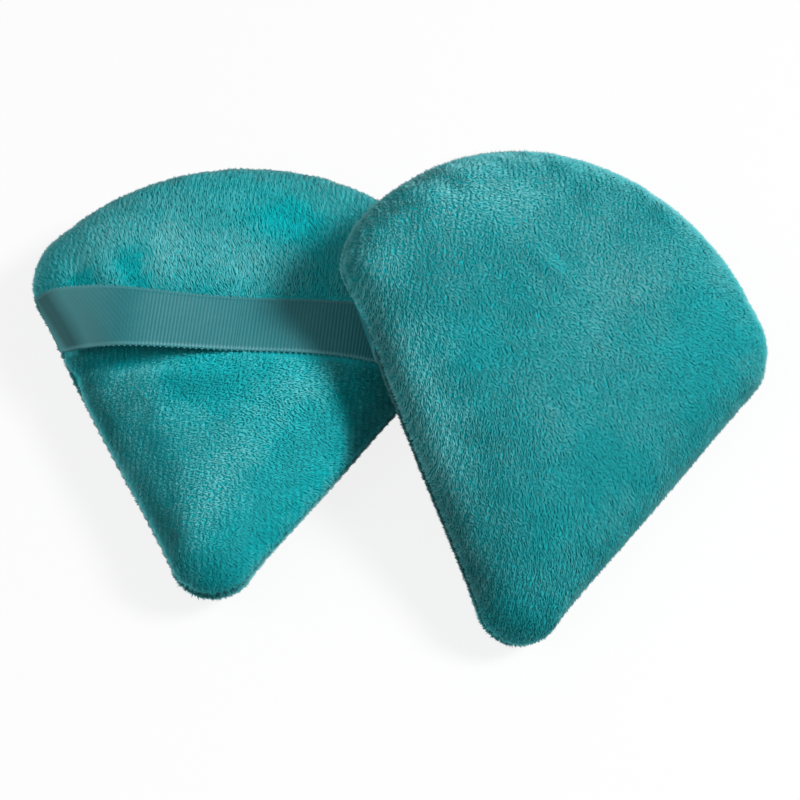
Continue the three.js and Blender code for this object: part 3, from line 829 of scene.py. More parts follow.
def closed_pillow(offset, count=26):
    """Points and faces of a whole puff without its seam."""
    shares, heights = pillow_sections(offset, count)
    edge = rim(offset)
    rings = list(zip(shares[1:], heights[1:]))
    rings += [(s, -h) for s, h in zip(shares[1:-1][::-1], heights[1:-1][::-1])]
    points = [(0, 0, heights[0])]
    for share, height in rings:
        points += [(x * share, y * share, height) for x, y in edge]
    points.append((0, 0, -heights[0]))
    size, last = len(edge), len(points) - 1
    faces = [(0, 1 + i, 1 + (i + 1) % size) for i in range(size)]
    for row in range(len(rings) - 1):
        here = 1 + row * size
        for i in range(size):
            j = (i + 1) % size
            faces.append((here + i, here + size + i, here + size + j, here + j))
    here = 1 + (len(rings) - 1) * size
    faces += [(last, here + (i + 1) % size, here + i) for i in range(size)]
    return points, faces


def filled_cover(puff):
    """The cover of one puff, blown up by its filling in a cloth simulation, in the puff's millimetres."""
    points, faces = closed_pillow(-START_DRAW_IN)
    cover = mesh_object(f"{puff}_cover_work", np.array(points) * MM * SIM_SCALE, faces)
    even = cover.modifiers.new("even_cells", "REMESH")
    even.mode = "VOXEL"
    even.voxel_size = SIM_CELL * MM * SIM_SCALE
    smooth = cover.modifiers.new("smoothed", "SMOOTH")
    smooth.factor, smooth.iterations = 0.5, 4
    made_plain(cover)
    start = coordinates(cover.data) / (MM * SIM_SCALE)
    # the voxels' own steps are taken out: every point goes back onto the pillow's surface
    start = onto_pillow(start, -START_DRAW_IN)
    grown = start
    set_coordinates(cover.data, start * MM * SIM_SCALE)
    pins = cover.vertex_groups.new(name="sewn")
    sewn = np.where(np.abs(start[:, 2]) < SIM_PINNED)[0]
    pins.add([int(i) for i in sewn], 1.0, "REPLACE")
    cloth = cover.modifiers.new("filling", "CLOTH")
    settings = cloth.settings
    settings.quality = 6
    settings.mass = 0.25
    settings.tension_stiffness = settings.compression_stiffness = 12
    settings.shear_stiffness = 8
    settings.bending_stiffness = 1.2
    settings.use_pressure = True
    settings.uniform_pressure_force = 4
    settings.shrink_min = -0.015
    settings.vertex_group_mass = "sewn"
    settings.effector_weights.gravity = 0
    cloth.collision_settings.use_collision = False
    cloth.point_cache.frame_start, cloth.point_cache.frame_end = 1, SIM_FRAMES
    for number in range(1, SIM_FRAMES + 1):
        bpy.context.scene.frame_set(number)
    made_plain(cover)
    bpy.context.scene.frame_set(1)
    move = coordinates(cover.data) / (MM * SIM_SCALE) - start
    length = np.linalg.norm(move, axis=1, keepdims=True)
    grown = start + move * np.minimum(1, GREATEST_MOVE / np.maximum(length, 1e-9))
    set_coordinates(cover.data, grown)
    rounded = cover.modifiers.new("rounded", "SUBSURF")
    rounded.levels = rounded.render_levels = 1
    return made_plain(cover)


def onto_pillow(points, offset):
    """Moves points along the line from the puff's middle until they lie on the pillow's surface."""
    x, y, z = points.T
    reach = reach_towards(x, y, offset)
    crown = HALF_THICKNESS + offset
    low, high = np.full(len(x), 0.5), np.full(len(x), 1.6)
    for _ in range(30):
        middle = (low + high) / 2
        size = (np.hypot(x, y) * middle / reach) ** SIDE_EXPONENT + (np.abs(z) * middle / crown) ** CROWN_EXPONENT
        inside = size < 1
        low, high = np.where(inside, middle, low), np.where(inside, high, middle)
    return points * low[:, None]


def half_cover(cover, face):
    """Points and faces of the half on one side of the seam."""
    sign = -1 if face else 1
    work = bmesh.new()
    work.from_mesh(cover.data)
    bmesh.ops.bisect_plane(
        work,
        geom=work.verts[:] + work.edges[:] + work.faces[:],
        plane_co=(0, 0, sign * SEAM_GAP / 2),
        plane_no=(0, 0, sign),
        clear_inner=True,
        dist=1e-4,
    )
    work.verts.ensure_lookup_table()
    points = np.array([v.co for v in work.verts])
    faces = [[v.index for v in f.verts] for f in work.faces]
    work.free()
    return points, faces


def add_folds(points, normals, folds):
    """Presses soft ridges and dents into the cover along its normals."""
    moved = np.zeros(len(points))
    for x0, y0, x1, y1, width, height in folds:
        start, along = np.array((x0, y0)), np.array((x1 - x0, y1 - y0))
        share = np.clip(((points[:, :2] - start) @ along) / (along @ along), 0, 1)
        away = np.linalg.norm(points[:, :2] - start - share[:, None] * along, axis=1)
        taper = 0.35 + 0.65 * np.sin(math.pi * np.clip(share, 0.02, 0.98))
        moved += height * taper * np.exp(-((away / width) ** 2))
    return points + normals * moved[:, None]


def swell_sides(puff, side, points, normals):
    """Moves the cover's sides outwards, most where the filling presses hardest."""
    # the upper puff's back lies on the lower strap, so only its seam swells
    full, ended = (0.5, 4) if (puff, side) == ("upper", "back") else (4, 8)
    band = 1 - smoothstep(np.abs(points[:, 2]), full, ended)
    out = np.full(len(points), SIDE_SWELL)
    for x, y, reach, extra in SIDE_SWELLS[puff]:
        out += extra * np.exp(-(((points[:, 0] - x) ** 2 + (points[:, 1] - y) ** 2) / reach**2))
    return points + normals * (out * band)[:, None]


def patch_share(points, patches, part):
    """The brushed patches' tone, partly painted sheen (part 0), or brightness, partly painted light and shade (part
    1), at each point.
    """
    # the patches' outlines are ragged, as brushed pile is
    noise.seed_set(RAGGED_SEED)
    broad = np.array([noise.noise_vector(Vector(p) * 0.33) * 1.8 for p in points])
    fine = np.array([noise.noise_vector(Vector(p) * 1.1) for p in points])
    points = points + (broad + fine)
    total = np.zeros(len(points))
    for x, y, length, width, turn, *parts in patches:
        c, s = math.cos(math.radians(turn)), math.sin(math.radians(turn))
        dx, dy = points[:, 0] - x, points[:, 1] - y
        along, over = (dx * c + dy * s) / length, (-dx * s + dy * c) / width
        total += parts[part] * np.exp(-(along**2 + over**2))
    return total


def painted_side_shade(puff, points):
    """Where painted shade darkens the pile on a puff's side: the upper puff's lower left side, away from the light."""
    if puff == "lower":
        return np.zeros(len(points))
    near_seam = 1 - smoothstep(np.abs(points[:, 2]), 1.5, 5.5)
    return near_seam * smoothstep(points[:, 0], 4, 9) * smoothstep(-points[:, 1], -2, 3)


def wale_show(points):
    """How plainly the knit's columns show through the pile: most where the cover curves away."""
    share = np.hypot(points[:, 0], points[:, 1]) / reach_towards(points[:, 0], points[:, 1], 0)
    return 0.15 + 0.5 * smoothstep(share, 0.45, 0.95)


# The way each panel was brushed, in degrees from its own right
BRUSHED_WAYS = {("lower", "back"): 112, ("upper", "face"): -120, ("lower", "face"): 60, ("upper", "back"): 100}


def nap_directions(puff, side, points, normals):
    """The way the pile lies at each point: one brushed direction with wandering patches."""
    turned = np.array([noise.noise(Vector(p) * 0.07 + Vector((11, 3, 5))) for p in points])
    finer = np.array([noise.noise(Vector(p) * 0.3 + Vector((2, 9, 1))) for p in points])
    angle = np.radians(BRUSHED_WAYS[puff, side] + 45 * turned + 25 * finer)
    if (puff, side) == ("lower", "back"):
        # below the strap it lies the other way
        angle -= np.radians(120) * smoothstep(-points[:, 1], 1, 6)
    lying = np.stack((np.cos(angle), np.sin(angle), np.zeros(len(points))), -1)
    # the pile is combed over the seam from both sides
    over = 1 - smoothstep(np.abs(points[:, 2]), 0.4, 2.6)
    lying = lying * (1 - over)[:, None] + np.array((0, 0, 1.0 if side == "face" else -1.0)) * over[:, None]
    lying -= normals * (lying * normals).sum(1)[:, None]
    return lying / np.maximum(np.linalg.norm(lying, axis=1), 1e-6)[:, None]


def strap_underside(puff):
    """Points of the strap's inner face, for keeping the pile below it."""
    across = np.linspace(-1, 1, 15)
    angles = np.linspace(0, math.pi / 2, 70)
    grid = np.array(np.meshgrid(angles, across)).reshape(2, -1)
    return np.concatenate([strap_points(s, grid[0], grid[1], LOOSENESS[puff], STRAP_CLEARANCE) for s in (-1, 1)])


def pile_room(puff, points):
    """Share of its full height that the pile has at each point."""
    underside = strap_underside(puff)
    nearest = KDTree(len(underside))
    for index, place in enumerate(underside):
        nearest.insert(place, index)
    nearest.balance()
    away = np.array([nearest.find(p)[2] for p in points])
    room = PRESSED_PILE + (1 - PRESSED_PILE) * smoothstep(away, STRAP_NEAR, STRAP_FAR)
    return room * (SEAM_PILE + (1 - SEAM_PILE) * smoothstep(np.abs(points[:, 2]), 0.2, 1.6))


def build_pile_tree():
    """Scatters leaning tufts over a cover."""
    tree, given = geometry_tree(
        "velour_pile",
        [
            ("Spacing", "NodeSocketFloat", 0.0003),
            ("Height", "NodeSocketFloat", 0.001),
            ("Width", "NodeSocketFloat", 0.0004),
            ("Lean", "NodeSocketFloat", 0.7),
            ("Scatter", "NodeSocketFloat", 0.4),
            ("Wale Pitch", "NodeSocketFloat", 0.95),
            ("Seed", "NodeSocketInt", 1),
            ("Material", "NodeSocketMaterial", None),
        ],
    )
    given = given.outputs
    room = add_node(tree, "GeometryNodeInputNamedAttribute", {"Name": "pile_room"}, data_type="FLOAT").outputs[0]
    nap = add_node(tree, "GeometryNodeInputNamedAttribute", {"Name": "nap"}, data_type="FLOAT_VECTOR").outputs[0]
    density = sums(tree, "DIVIDE", 1.0, sums(tree, "MULTIPLY", given["Spacing"], given["Spacing"]))
    spots = add_node(
        tree,
        "GeometryNodeDistributePointsOnFaces",
        {"Mesh": given["Geometry"], "Density": density, "Seed": given["Seed"]},
        distribute_method="RANDOM",
    )
    scatter = add_node(
        tree,
        "FunctionNodeRandomValue",
        {0: (-1, -1, -1), 1: (1, 1, 1), "Seed": given["Seed"]},
        data_type="FLOAT_VECTOR",
    )
    leaning = add_node(tree, "ShaderNodeVectorMath", {0: nap, "Scale": given["Lean"]}, operation="SCALE")
    strayed = add_node(
        tree, "ShaderNodeVectorMath", {0: scatter.outputs[0], "Scale": given["Scatter"]}, operation="SCALE"
    )
    upright = add_node(
        tree, "ShaderNodeVectorMath", {0: spots.outputs["Normal"], 1: leaning.outputs[0]}, operation="ADD"
    )
    pointed = add_node(tree, "ShaderNodeVectorMath", {0: upright.outputs[0], 1: strayed.outputs[0]}, operation="ADD")
    turned = add_node(
        tree, "FunctionNodeAlignRotationToVector", {"Vector": pointed.outputs[0]}, axis="Z", pivot_axis="AUTO"
    )
    spin = add_node(tree, "FunctionNodeRandomValue", {2: 0.0, 3: 6.283, "Seed": given["Seed"]}, data_type="FLOAT")
    about = add_node(tree, "ShaderNodeCombineXYZ", {"Z": spin.outputs[1]})
    spun = add_node(
        tree, "FunctionNodeRotateRotation", {0: turned.outputs[0], 1: about.outputs[0]}, rotation_space="LOCAL"
    )
    tuft = add_node(
        tree,
        "GeometryNodeMeshCone",
        {"Vertices": 3, "Radius Top": 0.0, "Radius Bottom": 0.5, "Depth": 1.0},
        fill_type="NGON",
    )
    smooth = add_node(tree, "GeometryNodeSetShadeSmooth", {"Geometry": tuft.outputs["Mesh"]})
    height = add_node(tree, "ShaderNodeSeparateXYZ", {0: add_node(tree, "GeometryNodeInputPosition").outputs[0]})
    tipped = add_node(
        tree,
        "GeometryNodeStoreNamedAttribute",
        {"Geometry": smooth.outputs[0], "Name": "tuft_tip", "Value": height.outputs[2]},
        data_type="FLOAT",
        domain="POINT",
    )
    stature = add_node(tree, "FunctionNodeRandomValue", {2: 0.7, 3: 1.2, "Seed": given["Seed"]}, data_type="FLOAT")
    shown = add_node(tree, "GeometryNodeInputNamedAttribute", {"Name": "wale_show"}, data_type="FLOAT").outputs[0]
    place = add_node(tree, "GeometryNodeInputNamedAttribute", {"Name": "puff_place"}, data_type="FLOAT_VECTOR")
    wale = wale_wave(tree, place.outputs[0], given["Wale Pitch"], WALE_WOBBLE)
    gap = sums(tree, "MULTIPLY", sums(tree, "SUBTRACT", 1.0, wale), shown)
    room = sums(tree, "MULTIPLY", room, sums(tree, "MULTIPLY_ADD", gap, -0.45, 1.0))
    tall = sums(tree, "MULTIPLY", sums(tree, "MULTIPLY", stature.outputs[1], room), given["Height"])
    wide = sums(tree, "MULTIPLY", given["Width"], sums(tree, "MULTIPLY_ADD", stature.outputs[1], 0.5, 0.5))
    size = add_node(tree, "ShaderNodeCombineXYZ", {"X": wide, "Y": wide, "Z": tall})
    planted = add_node(
        tree,
        "GeometryNodeInstanceOnPoints",
        {
            "Points": spots.outputs["Points"],
            "Instance": tipped.outputs[0],
            "Rotation": spun.outputs[0],
            "Scale": size.outputs[0],
        },
    )
    shade = add_node(tree, "FunctionNodeRandomValue", {2: 0.0, 3: 1.0, "Seed": given["Seed"]}, data_type="FLOAT")
    shaded = add_node(
        tree,
        "GeometryNodeStoreNamedAttribute",
        {"Geometry": planted.outputs[0], "Name": "tuft_shade", "Value": shade.outputs[1]},
        data_type="FLOAT",
        domain="INSTANCE",
    )
    real = add_node(tree, "GeometryNodeRealizeInstances", {"Geometry": shaded.outputs[0]})
    finish = add_node(tree, "GeometryNodeSetMaterial", {"Geometry": real.outputs[0], "Material": given["Material"]})
    add_node(tree, "NodeGroupOutput", {0: finish.outputs[0]})
    return tree


def keep_half(mesh, points, sign):
    """Leaves only the faces whose middle lies on one side of the puff's own middle line."""
    work = bmesh.new()
    work.from_mesh(mesh)
    gone = [f for f in work.faces if (sum(points[v.index][0] for v in f.verts) >= 0) != (sign > 0)]
    bmesh.ops.delete(work, geom=gone, context="FACES")
    work.to_mesh(mesh)
    work.free()


def make_half(puff, side, cover, velour, materials, pile_tree):
    """One velour panel: its knitted ground and its pile."""
    points, faces = half_cover(cover, side == "face")
    work = mesh_object(f"{puff}_{side}_cover", points, faces)
    normals = vertex_normals(work.data)
    points = add_folds(points, normals, SOFT_FOLDS[puff, side])
    points = swell_sides(puff, side, points, normals)
    # the seam draws the cover in
    height = np.abs(points[:, 2])
    inwards = velour.groove / MM * np.clip(1 - height / 2.0, 0, 1) ** 2
    shrink = 1 - inwards / np.maximum(np.hypot(points[:, 0], points[:, 1]), 1)
    points[:, :2] *= shrink[:, None]
    table = RESTING_CUT - HALF_THICKNESS
    if (puff, side) == ("lower", "face"):
        points[:, 2] = np.maximum(points[:, 2], table + RESTING_ROOM)
    room = pile_room(puff, points)
    if (puff, side) == ("lower", "face"):
        room = np.minimum(room, np.clip((points[:, 2] - table) / 1.1, 0.3, 1))
    placed = to_frame(puff, points)
    placed[:, 2] = np.maximum(placed[:, 2], COVER_LOWEST)
    set_coordinates(work.data, placed)
    shade_smooth(work)
    store(work.data, "puff_place", points)
    # the patches' tone, partly painted sheen, and their brightness, partly painted light and shade
    store(work.data, "nap_tone_and_painted_sheen", patch_share(points, BRUSHED_PATCHES_AND_PAINTED_LIGHT[puff, side], 0))
    # less the painted shade on the upper puff's lower left side
    light = patch_share(points, BRUSHED_PATCHES_AND_PAINTED_LIGHT[puff, side], 1) - PAINTED_SIDE_SHADE * painted_side_shade(puff, points)
    store(work.data, "nap_and_painted_light", light)
    store(work.data, "wale_show", wale_show(points))
    store(work.data, "pile_room", room)
    store(work.data, "cover_normal", vertex_normals(work.data))
    store(work.data, "nap", directions_to_frame(puff, nap_directions(puff, side, points, normals)))

    piles = []
    for sign, name in ((-1, "left"), (1, "right")):
        pile = bpy.data.objects.new(f"{puff}_{side}_pile_{name}", work.data.copy())
        bpy.context.scene.collection.objects.link(pile)
        keep_half(pile.data, points, sign)
        run_tree(
            pile,
            pile_tree,
            {
                "Spacing": velour.tuft_spacing,
                "Height": velour.pile_height,
                "Width": velour.tuft_width,
                "Lean": velour.nap_lean,
                "Scatter": velour.nap_scatter,
                "Wale Pitch": velour.wale_pitch / MM,
                "Seed": velour.seed + (side == "face") + 2 * (puff == "upper") + 4 * (sign > 0),
                "Material": materials[side, "pile"],
            },
        )
        places = coordinates(pile.data)
        places[:, 2] = np.maximum(places[:, 2], TUFT_LOWEST)
        set_coordinates(pile.data, places)
        piles.append(pile)

    wall = work.modifiers.new("base_cloth", "SOLIDIFY")
    wall.thickness = velour.wall
    wall.offset = -1
    made_plain(work)
    work.data.materials.append(materials[side, "ground"])
    for piece in (work, *piles):
        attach(piece, f"{puff}_puff")
    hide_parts(f"{puff}_{side}_panel")


class PUFF_OT_velour_covers(bpy.types.Operator):
    """Makes the four velour panels, blown up by their filling, with their pile"""

    bl_idname = "puff.velour_covers"
    bl_label = "Velour covers"

    def execute(self, context):
        velour = context.scene.puff_velour
        materials = velour_materials(velour)
        pile_tree = build_pile_tree()
        for puff in PLACES:
            cover = filled_cover(puff)
            for side in ("face", "back"):
                make_half(puff, side, cover, velour, materials, pile_tree)
            remove(cover)
        return {"FINISHED"}


# ---------------------------------------------------------------- sponge fillings


class PUFF_OT_sponge_fillings(bpy.types.Operator):
    """Makes the two sponge pads that fill the covers"""

    bl_idname = "puff.sponge_fillings"
    bl_label = "Sponge fillings"

    def execute(self, context):
        material = sponge_material(context.scene.puff_strap)
        offset = -(COVER_WALL + CLEARANCE)
        for puff in PLACES:
            points, faces = closed_pillow(offset, 18)
            points = np.array(points)
            points[:, :2] *= 1 - 0.05 * np.exp(-((points[:, 2] / 1.2) ** 2))[:, None]
            grain = np.array([noise.noise(Vector(p) * 1.3) + noise.noise(Vector(p) * 0.25) for p in points])
            points *= (1 - 0.004 * np.abs(grain))[:, None]
            pad = mesh_object(f"{puff}_sponge_filling", to_frame(puff, points), faces)
            shade_smooth(pad)
            pad.data.materials.append(material)
            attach(pad, f"{puff}_puff")
            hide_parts(f"{puff}_sponge_pad")
        return {"FINISHED"}


# ---------------------------------------------------------------- overlocked seams


def build_stitch_tree():
    """Wraps thread loops round a path, with a running thread along it."""
    tree, given = geometry_tree(
        "overlock_stitches",
        [
            ("Pitch", "NodeSocketFloat", 0.0016),
            ("Loop Radius", "NodeSocketFloat", 0.00026),
            ("Thread Radius", "NodeSocketFloat", 0.00008),
            ("Material", "NodeSocketMaterial", None),
        ],
    )
    given = given.outputs
    path = add_node(tree, "GeometryNodeMeshToCurve", {0: given["Geometry"]})
    spots = add_node(
        tree, "GeometryNodeCurveToPoints", {"Curve": path.outputs[0], "Length": given["Pitch"]}, mode="LENGTH"
    )
    loop = add_node(tree, "GeometryNodeCurvePrimitiveCircle", {"Resolution": 8, "Radius": given["Loop Radius"]})
    strand = add_node(tree, "GeometryNodeCurvePrimitiveCircle", {"Resolution": 4, "Radius": given["Thread Radius"]})
    tube = add_node(tree, "GeometryNodeCurveToMesh", {"Curve": loop.outputs[0], "Profile Curve": strand.outputs[0]})
    slant = add_node(
        tree, "FunctionNodeRotateRotation", {0: spots.outputs["Rotation"], 1: (0.0, 0.45, 0.0)}, rotation_space="LOCAL"
    )
    wrapped = add_node(
        tree,
        "GeometryNodeInstanceOnPoints",
        {"Points": spots.outputs["Points"], "Instance": tube.outputs[0], "Rotation": slant.outputs[0]},
    )
    running = add_node(tree, "GeometryNodeCurveToMesh", {"Curve": path.outputs[0], "Profile Curve": strand.outputs[0]})
    both = add_node(tree, "GeometryNodeJoinGeometry")
    tree.links.new(running.outputs[0], both.inputs[0])
    tree.links.new(wrapped.outputs[0], both.inputs[0])
    real = add_node(tree, "GeometryNodeRealizeInstances", {"Geometry": both.outputs[0]})
    finish = add_node(tree, "GeometryNodeSetMaterial", {"Geometry": real.outputs[0], "Material": given["Material"]})
    add_node(tree, "NodeGroupOutput", {0: finish.outputs[0]})
    return tree


class PUFF_OT_overlocked_seams(bpy.types.Operator):
    """Makes the overlock stitches that bind the sewn edges inside each cover"""

    bl_idname = "puff.overlocked_seams"
    bl_label = "Overlocked seams"

    def execute(self, context):
        strap = context.scene.puff_strap
        material = thread_material(strap)
        tree = build_stitch_tree()
        middle = -(SEAM_ALLOWANCE + CLEARANCE + THREAD_DIAMETER / 2)
        for puff in PLACES:
            edge = rim(middle)
            points = np.column_stack((edge, np.zeros(len(edge))))
            edges = [(i, (i + 1) % len(edge)) for i in range(len(edge))]
            seam = mesh_object(f"{puff}_overlock_stitches", to_frame(puff, points), edges=edges)
            run_tree(seam, tree, {"Pitch": strap.stitch_pitch, "Material": material})
            shade_smooth(seam)
            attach(seam, f"{puff}_puff")
            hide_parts(f"{puff}_overlock_thread")
        return {"FINISHED"}


# ---------------------------------------------------------------- finger straps

RIB_SAMPLES = 6  # cross-sections in each rib
ACROSS_STEPS = 14
EDGE_ROUNDING = 0.985  # the share of the ribbon's width that is flat
PICOT_LINE = 1.02  # where the edge loops sit, in shares of the half width
PICOT_MARK = 9.0  # stored as a point's height on the ribbon, to tell the loops' lines from the ribbon
STRAP_MIDDLE = STRAP_CLEARANCE + STRAP_THICKNESS / 2
RIBBON_LOWEST = 0.00005  # metres over the table, where the upper strap comes down to it
PICOT_LOWEST = 0.00025


def strap_walk(puff, side):
    """Angles along one half of the strap, and how far each is from its middle."""
    angle = np.linspace(0, math.pi / 2, 900)
    line = strap_points(side, angle, np.zeros_like(angle), LOOSENESS[puff], STRAP_MIDDLE)
    walked = np.concatenate(((0,), np.cumsum(np.linalg.norm(np.diff(line, axis=0), axis=1))))
    return angle, walked


def strap_ring(puff, side, angle, run):
    """One closed cross-section of the ribbon with rounded edges, and each point's place on the ribbon."""
    across = np.linspace(-1, 1, ACROSS_STEPS)
    rows = [(a * EDGE_ROUNDING, STRAP_CLEARANCE) for a in across] + [(1.0, STRAP_MIDDLE)]
    outer = STRAP_CLEARANCE + STRAP_THICKNESS
    rows += [(a * EDGE_ROUNDING, outer) for a in across[::-1]] + [(-1.0, STRAP_MIDDLE)]
    points, places = [], []
    for over, offset in rows:
        point = strap_points(side, np.array([angle]), np.array([over]), LOOSENESS[puff], offset)[0]
        points.append(point)
        places.append((run, over * STRAP_WIDTH / 2, offset))
    return points, places


def strap_half(puff, side, name, rib_pitch):
    """One half of a strap from its middle into the seam, with lines along both edges for the picots."""
    angles, walked = strap_walk(puff, side)
    length = walked[-1]
    count = int(round(length / rib_pitch * RIB_SAMPLES))
    runs = np.linspace(0, length, count + 1)
    points, places = [], []
    for run in runs:
        ring_points, ring_places = strap_ring(puff, side, np.interp(run, walked, angles), side * run)
        points += ring_points
        places += ring_places
    size = 2 * ACROSS_STEPS + 2
    # the raw end, caught between the panels
    for over, offset in [(p[1], p[2]) for p in places[:size]]:
        row = STRAP_END_ROW + over
        z = STRAP_SEAM_TOP - (offset - STRAP_CLEARANCE)
        points.append(np.array((side * (half_width_at(row, 0) - STRAP_TAIL), row, z)))
        places.append((side * (length + STRAP_TAIL), over, offset))
    rows = count + 2
    faces = []
    for row in range(rows - 1):
        for i in range(size):
            j = (i + 1) % size
            a, b = row * size, (row + 1) * size
            face = (a + i, a + j, b + j, b + i)
            faces.append(face if side > 0 else face[::-1])
    first, last = list(range(size)), [(rows - 1) * size + i for i in range(size)]
    faces += [first[::-1], last] if side > 0 else [first, last[::-1]]
    edge_lines = []
    for over in (PICOT_LINE, -PICOT_LINE):
        start = len(points)
        for run in np.arange(0.4, length - 0.5, 0.6):
            angle = np.interp(run, walked, angles)
            points.append(strap_points(side, np.array([angle]), np.array([over]), LOOSENESS[puff], STRAP_MIDDLE)[0])
            places.append((side * run, over * STRAP_WIDTH / 2, PICOT_MARK))
        edge_lines += [(i, i + 1) for i in range(start, len(points) - 1)]
    placed = to_frame(puff, points)
    ribbon_count = rows * size
    placed[:ribbon_count, 2] = np.maximum(placed[:ribbon_count, 2], RIBBON_LOWEST)
    placed[ribbon_count:, 2] = np.maximum(placed[ribbon_count:, 2], PICOT_LOWEST)
    made = mesh_object(name, placed, faces, edge_lines)
    store(made.data, "strap_place", places)
    return made


def build_grosgrain_tree():
    """Raises the ribs along the ribbon and sets the small loops along both edges."""
    tree, given = geometry_tree(
        "grosgrain_ribs",
        [
            ("Rib Pitch", "NodeSocketFloat", 0.00086),
            ("Rib Depth", "NodeSocketFloat", 0.00013),
            ("Picot Pitch", "NodeSocketFloat", 0.0013),
            ("Picot Size", "NodeSocketFloat", 0.00017),
            ("Material", "NodeSocketMaterial", None),
        ],
    )
    given = given.outputs
    place = add_node(tree, "GeometryNodeInputNamedAttribute", {"Name": "strap_place"}, data_type="FLOAT_VECTOR")
    parts = add_node(tree, "ShaderNodeSeparateXYZ", {0: place.outputs[0]})
    on_line = sums(tree, "GREATER_THAN", parts.outputs[2], PICOT_MARK / 2)
    apart = add_node(tree, "GeometryNodeSeparateGeometry", {0: given["Geometry"], 1: on_line}, domain="POINT")
    pitch = sums(tree, "DIVIDE", given["Rib Pitch"], MM)
    wave = sums(tree, "COSINE", sums(tree, "MULTIPLY", sums(tree, "DIVIDE", parts.outputs[0], pitch), 2 * math.pi))
    rib = sums(tree, "POWER", sums(tree, "MULTIPLY_ADD", wave, 0.5, 0.5), 0.7)
    kept = add_node(
        tree,
        "GeometryNodeStoreNamedAttribute",
        {"Geometry": apart.outputs[1], "Name": "rib_height", "Value": rib},
        data_type="FLOAT",
        domain="POINT",
    )
    # the raised ribs fade out where the slanting ones of the ribbon's material take over
    straight = sums(tree, "MULTIPLY_ADD", parts.outputs[0], 0.125, 2.6, clamp=True)
    depth = sums(tree, "MULTIPLY", given["Rib Depth"], straight)
    lift = sums(tree, "MULTIPLY", sums(tree, "SUBTRACT", rib, 1.0), depth)
    normal = add_node(tree, "GeometryNodeInputNormal")
    push = add_node(tree, "ShaderNodeVectorMath", {0: normal.outputs[0], "Scale": lift}, operation="SCALE")
    ribbed = add_node(tree, "GeometryNodeSetPosition", {"Geometry": kept.outputs[0], "Offset": push.outputs[0]})
    lines = add_node(tree, "GeometryNodeMeshToCurve", {0: apart.outputs[0]})
    spots = add_node(
        tree, "GeometryNodeCurveToPoints", {"Curve": lines.outputs[0], "Length": given["Picot Pitch"]}, mode="LENGTH"
    )
    bead = add_node(tree, "GeometryNodeMeshIcoSphere", {"Radius": given["Picot Size"], "Subdivisions": 1})
    bead_smooth = add_node(tree, "GeometryNodeSetShadeSmooth", {"Geometry": bead.outputs["Mesh"]})
    pale = add_node(
        tree,
        "GeometryNodeStoreNamedAttribute",
        {"Geometry": bead_smooth.outputs[0], "Name": "rib_height", "Value": 1.15},
        data_type="FLOAT",
        domain="POINT",
    )
    sewn = add_node(
        tree,
        "GeometryNodeInstanceOnPoints",
        {
            "Points": spots.outputs["Points"],
            "Instance": pale.outputs[0],
            "Rotation": spots.outputs["Rotation"],
            "Scale": (0.8, 0.8, 1.15),
        },
    )
    both = add_node(tree, "GeometryNodeJoinGeometry")
    tree.links.new(ribbed.outputs[0], both.inputs[0])
    tree.links.new(sewn.outputs[0], both.inputs[0])
    real = add_node(tree, "GeometryNodeRealizeInstances", {"Geometry": both.outputs[0]})
    finish = add_node(tree, "GeometryNodeSetMaterial", {"Geometry": real.outputs[0], "Material": given["Material"]})
    add_node(tree, "NodeGroupOutput", {0: finish.outputs[0]})
    return tree


# The stretch of each strap half over which it passes from its puff to its own free middle, in shares
# of the half's length from the middle. The right halves are pressed down where the two puffs touch, and
# the upper strap's left half where the table holds it
STRAP_BENDS = {
    ("lower", -1): (0.62, 0.97),
    ("lower", 1): (0.08, 0.38),
    ("upper", -1): (0.27, 0.52),
    ("upper", 1): (0.08, 0.38),
}


class PUFF_OT_finger_straps(bpy.types.Operator):
    """Makes the two grosgrain finger straps, each in two halves from the middle into the seam"""

    bl_idname = "puff.finger_straps"
    bl_label = "Finger straps"

    def execute(self, context):
        strap = context.scene.puff_strap
        material = grosgrain_material(strap)
        tree = build_grosgrain_tree()
        names = {-1: "left", 1: "right"}
        for puff in PLACES:
            for side in (-1, 1):
                half = strap_half(puff, side, f"{puff}_strap_{names[side]}", strap.rib_pitch / MM)
                run_tree(
                    half,
                    tree,
                    {
                        "Rib Pitch": strap.rib_pitch,
                        "Rib Depth": strap.rib_depth,
                        "Picot Pitch": strap.picot_pitch,
                        "Material": material,
                    },
                )
                shade_smooth(half)
                angles, walked = strap_walk(puff, side)
                free_share, sewn_share = STRAP_BENDS[puff, side]
                for share in (sewn_share, free_share):
                    angle = np.array([np.interp(share * walked[-1], walked, angles)])
                    strap_points(side, angle, np.zeros(1), LOOSENESS[puff], STRAP_MIDDLE)[0]
                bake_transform(half)
                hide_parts(f"{puff}_strap_{names[side]}_end")
                if side < 0:
                    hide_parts(f"{puff}_strap_span")
        return {"FINISHED"}


# ---------------------------------------------------------------- stage


FLOOR_GLOW = 0.85  # how much of the floor's own shade the camera sees as plain white
FLOOR_REACH = 3.0
AIM = Vector((0, 0, 0.012))  # the pair's middle


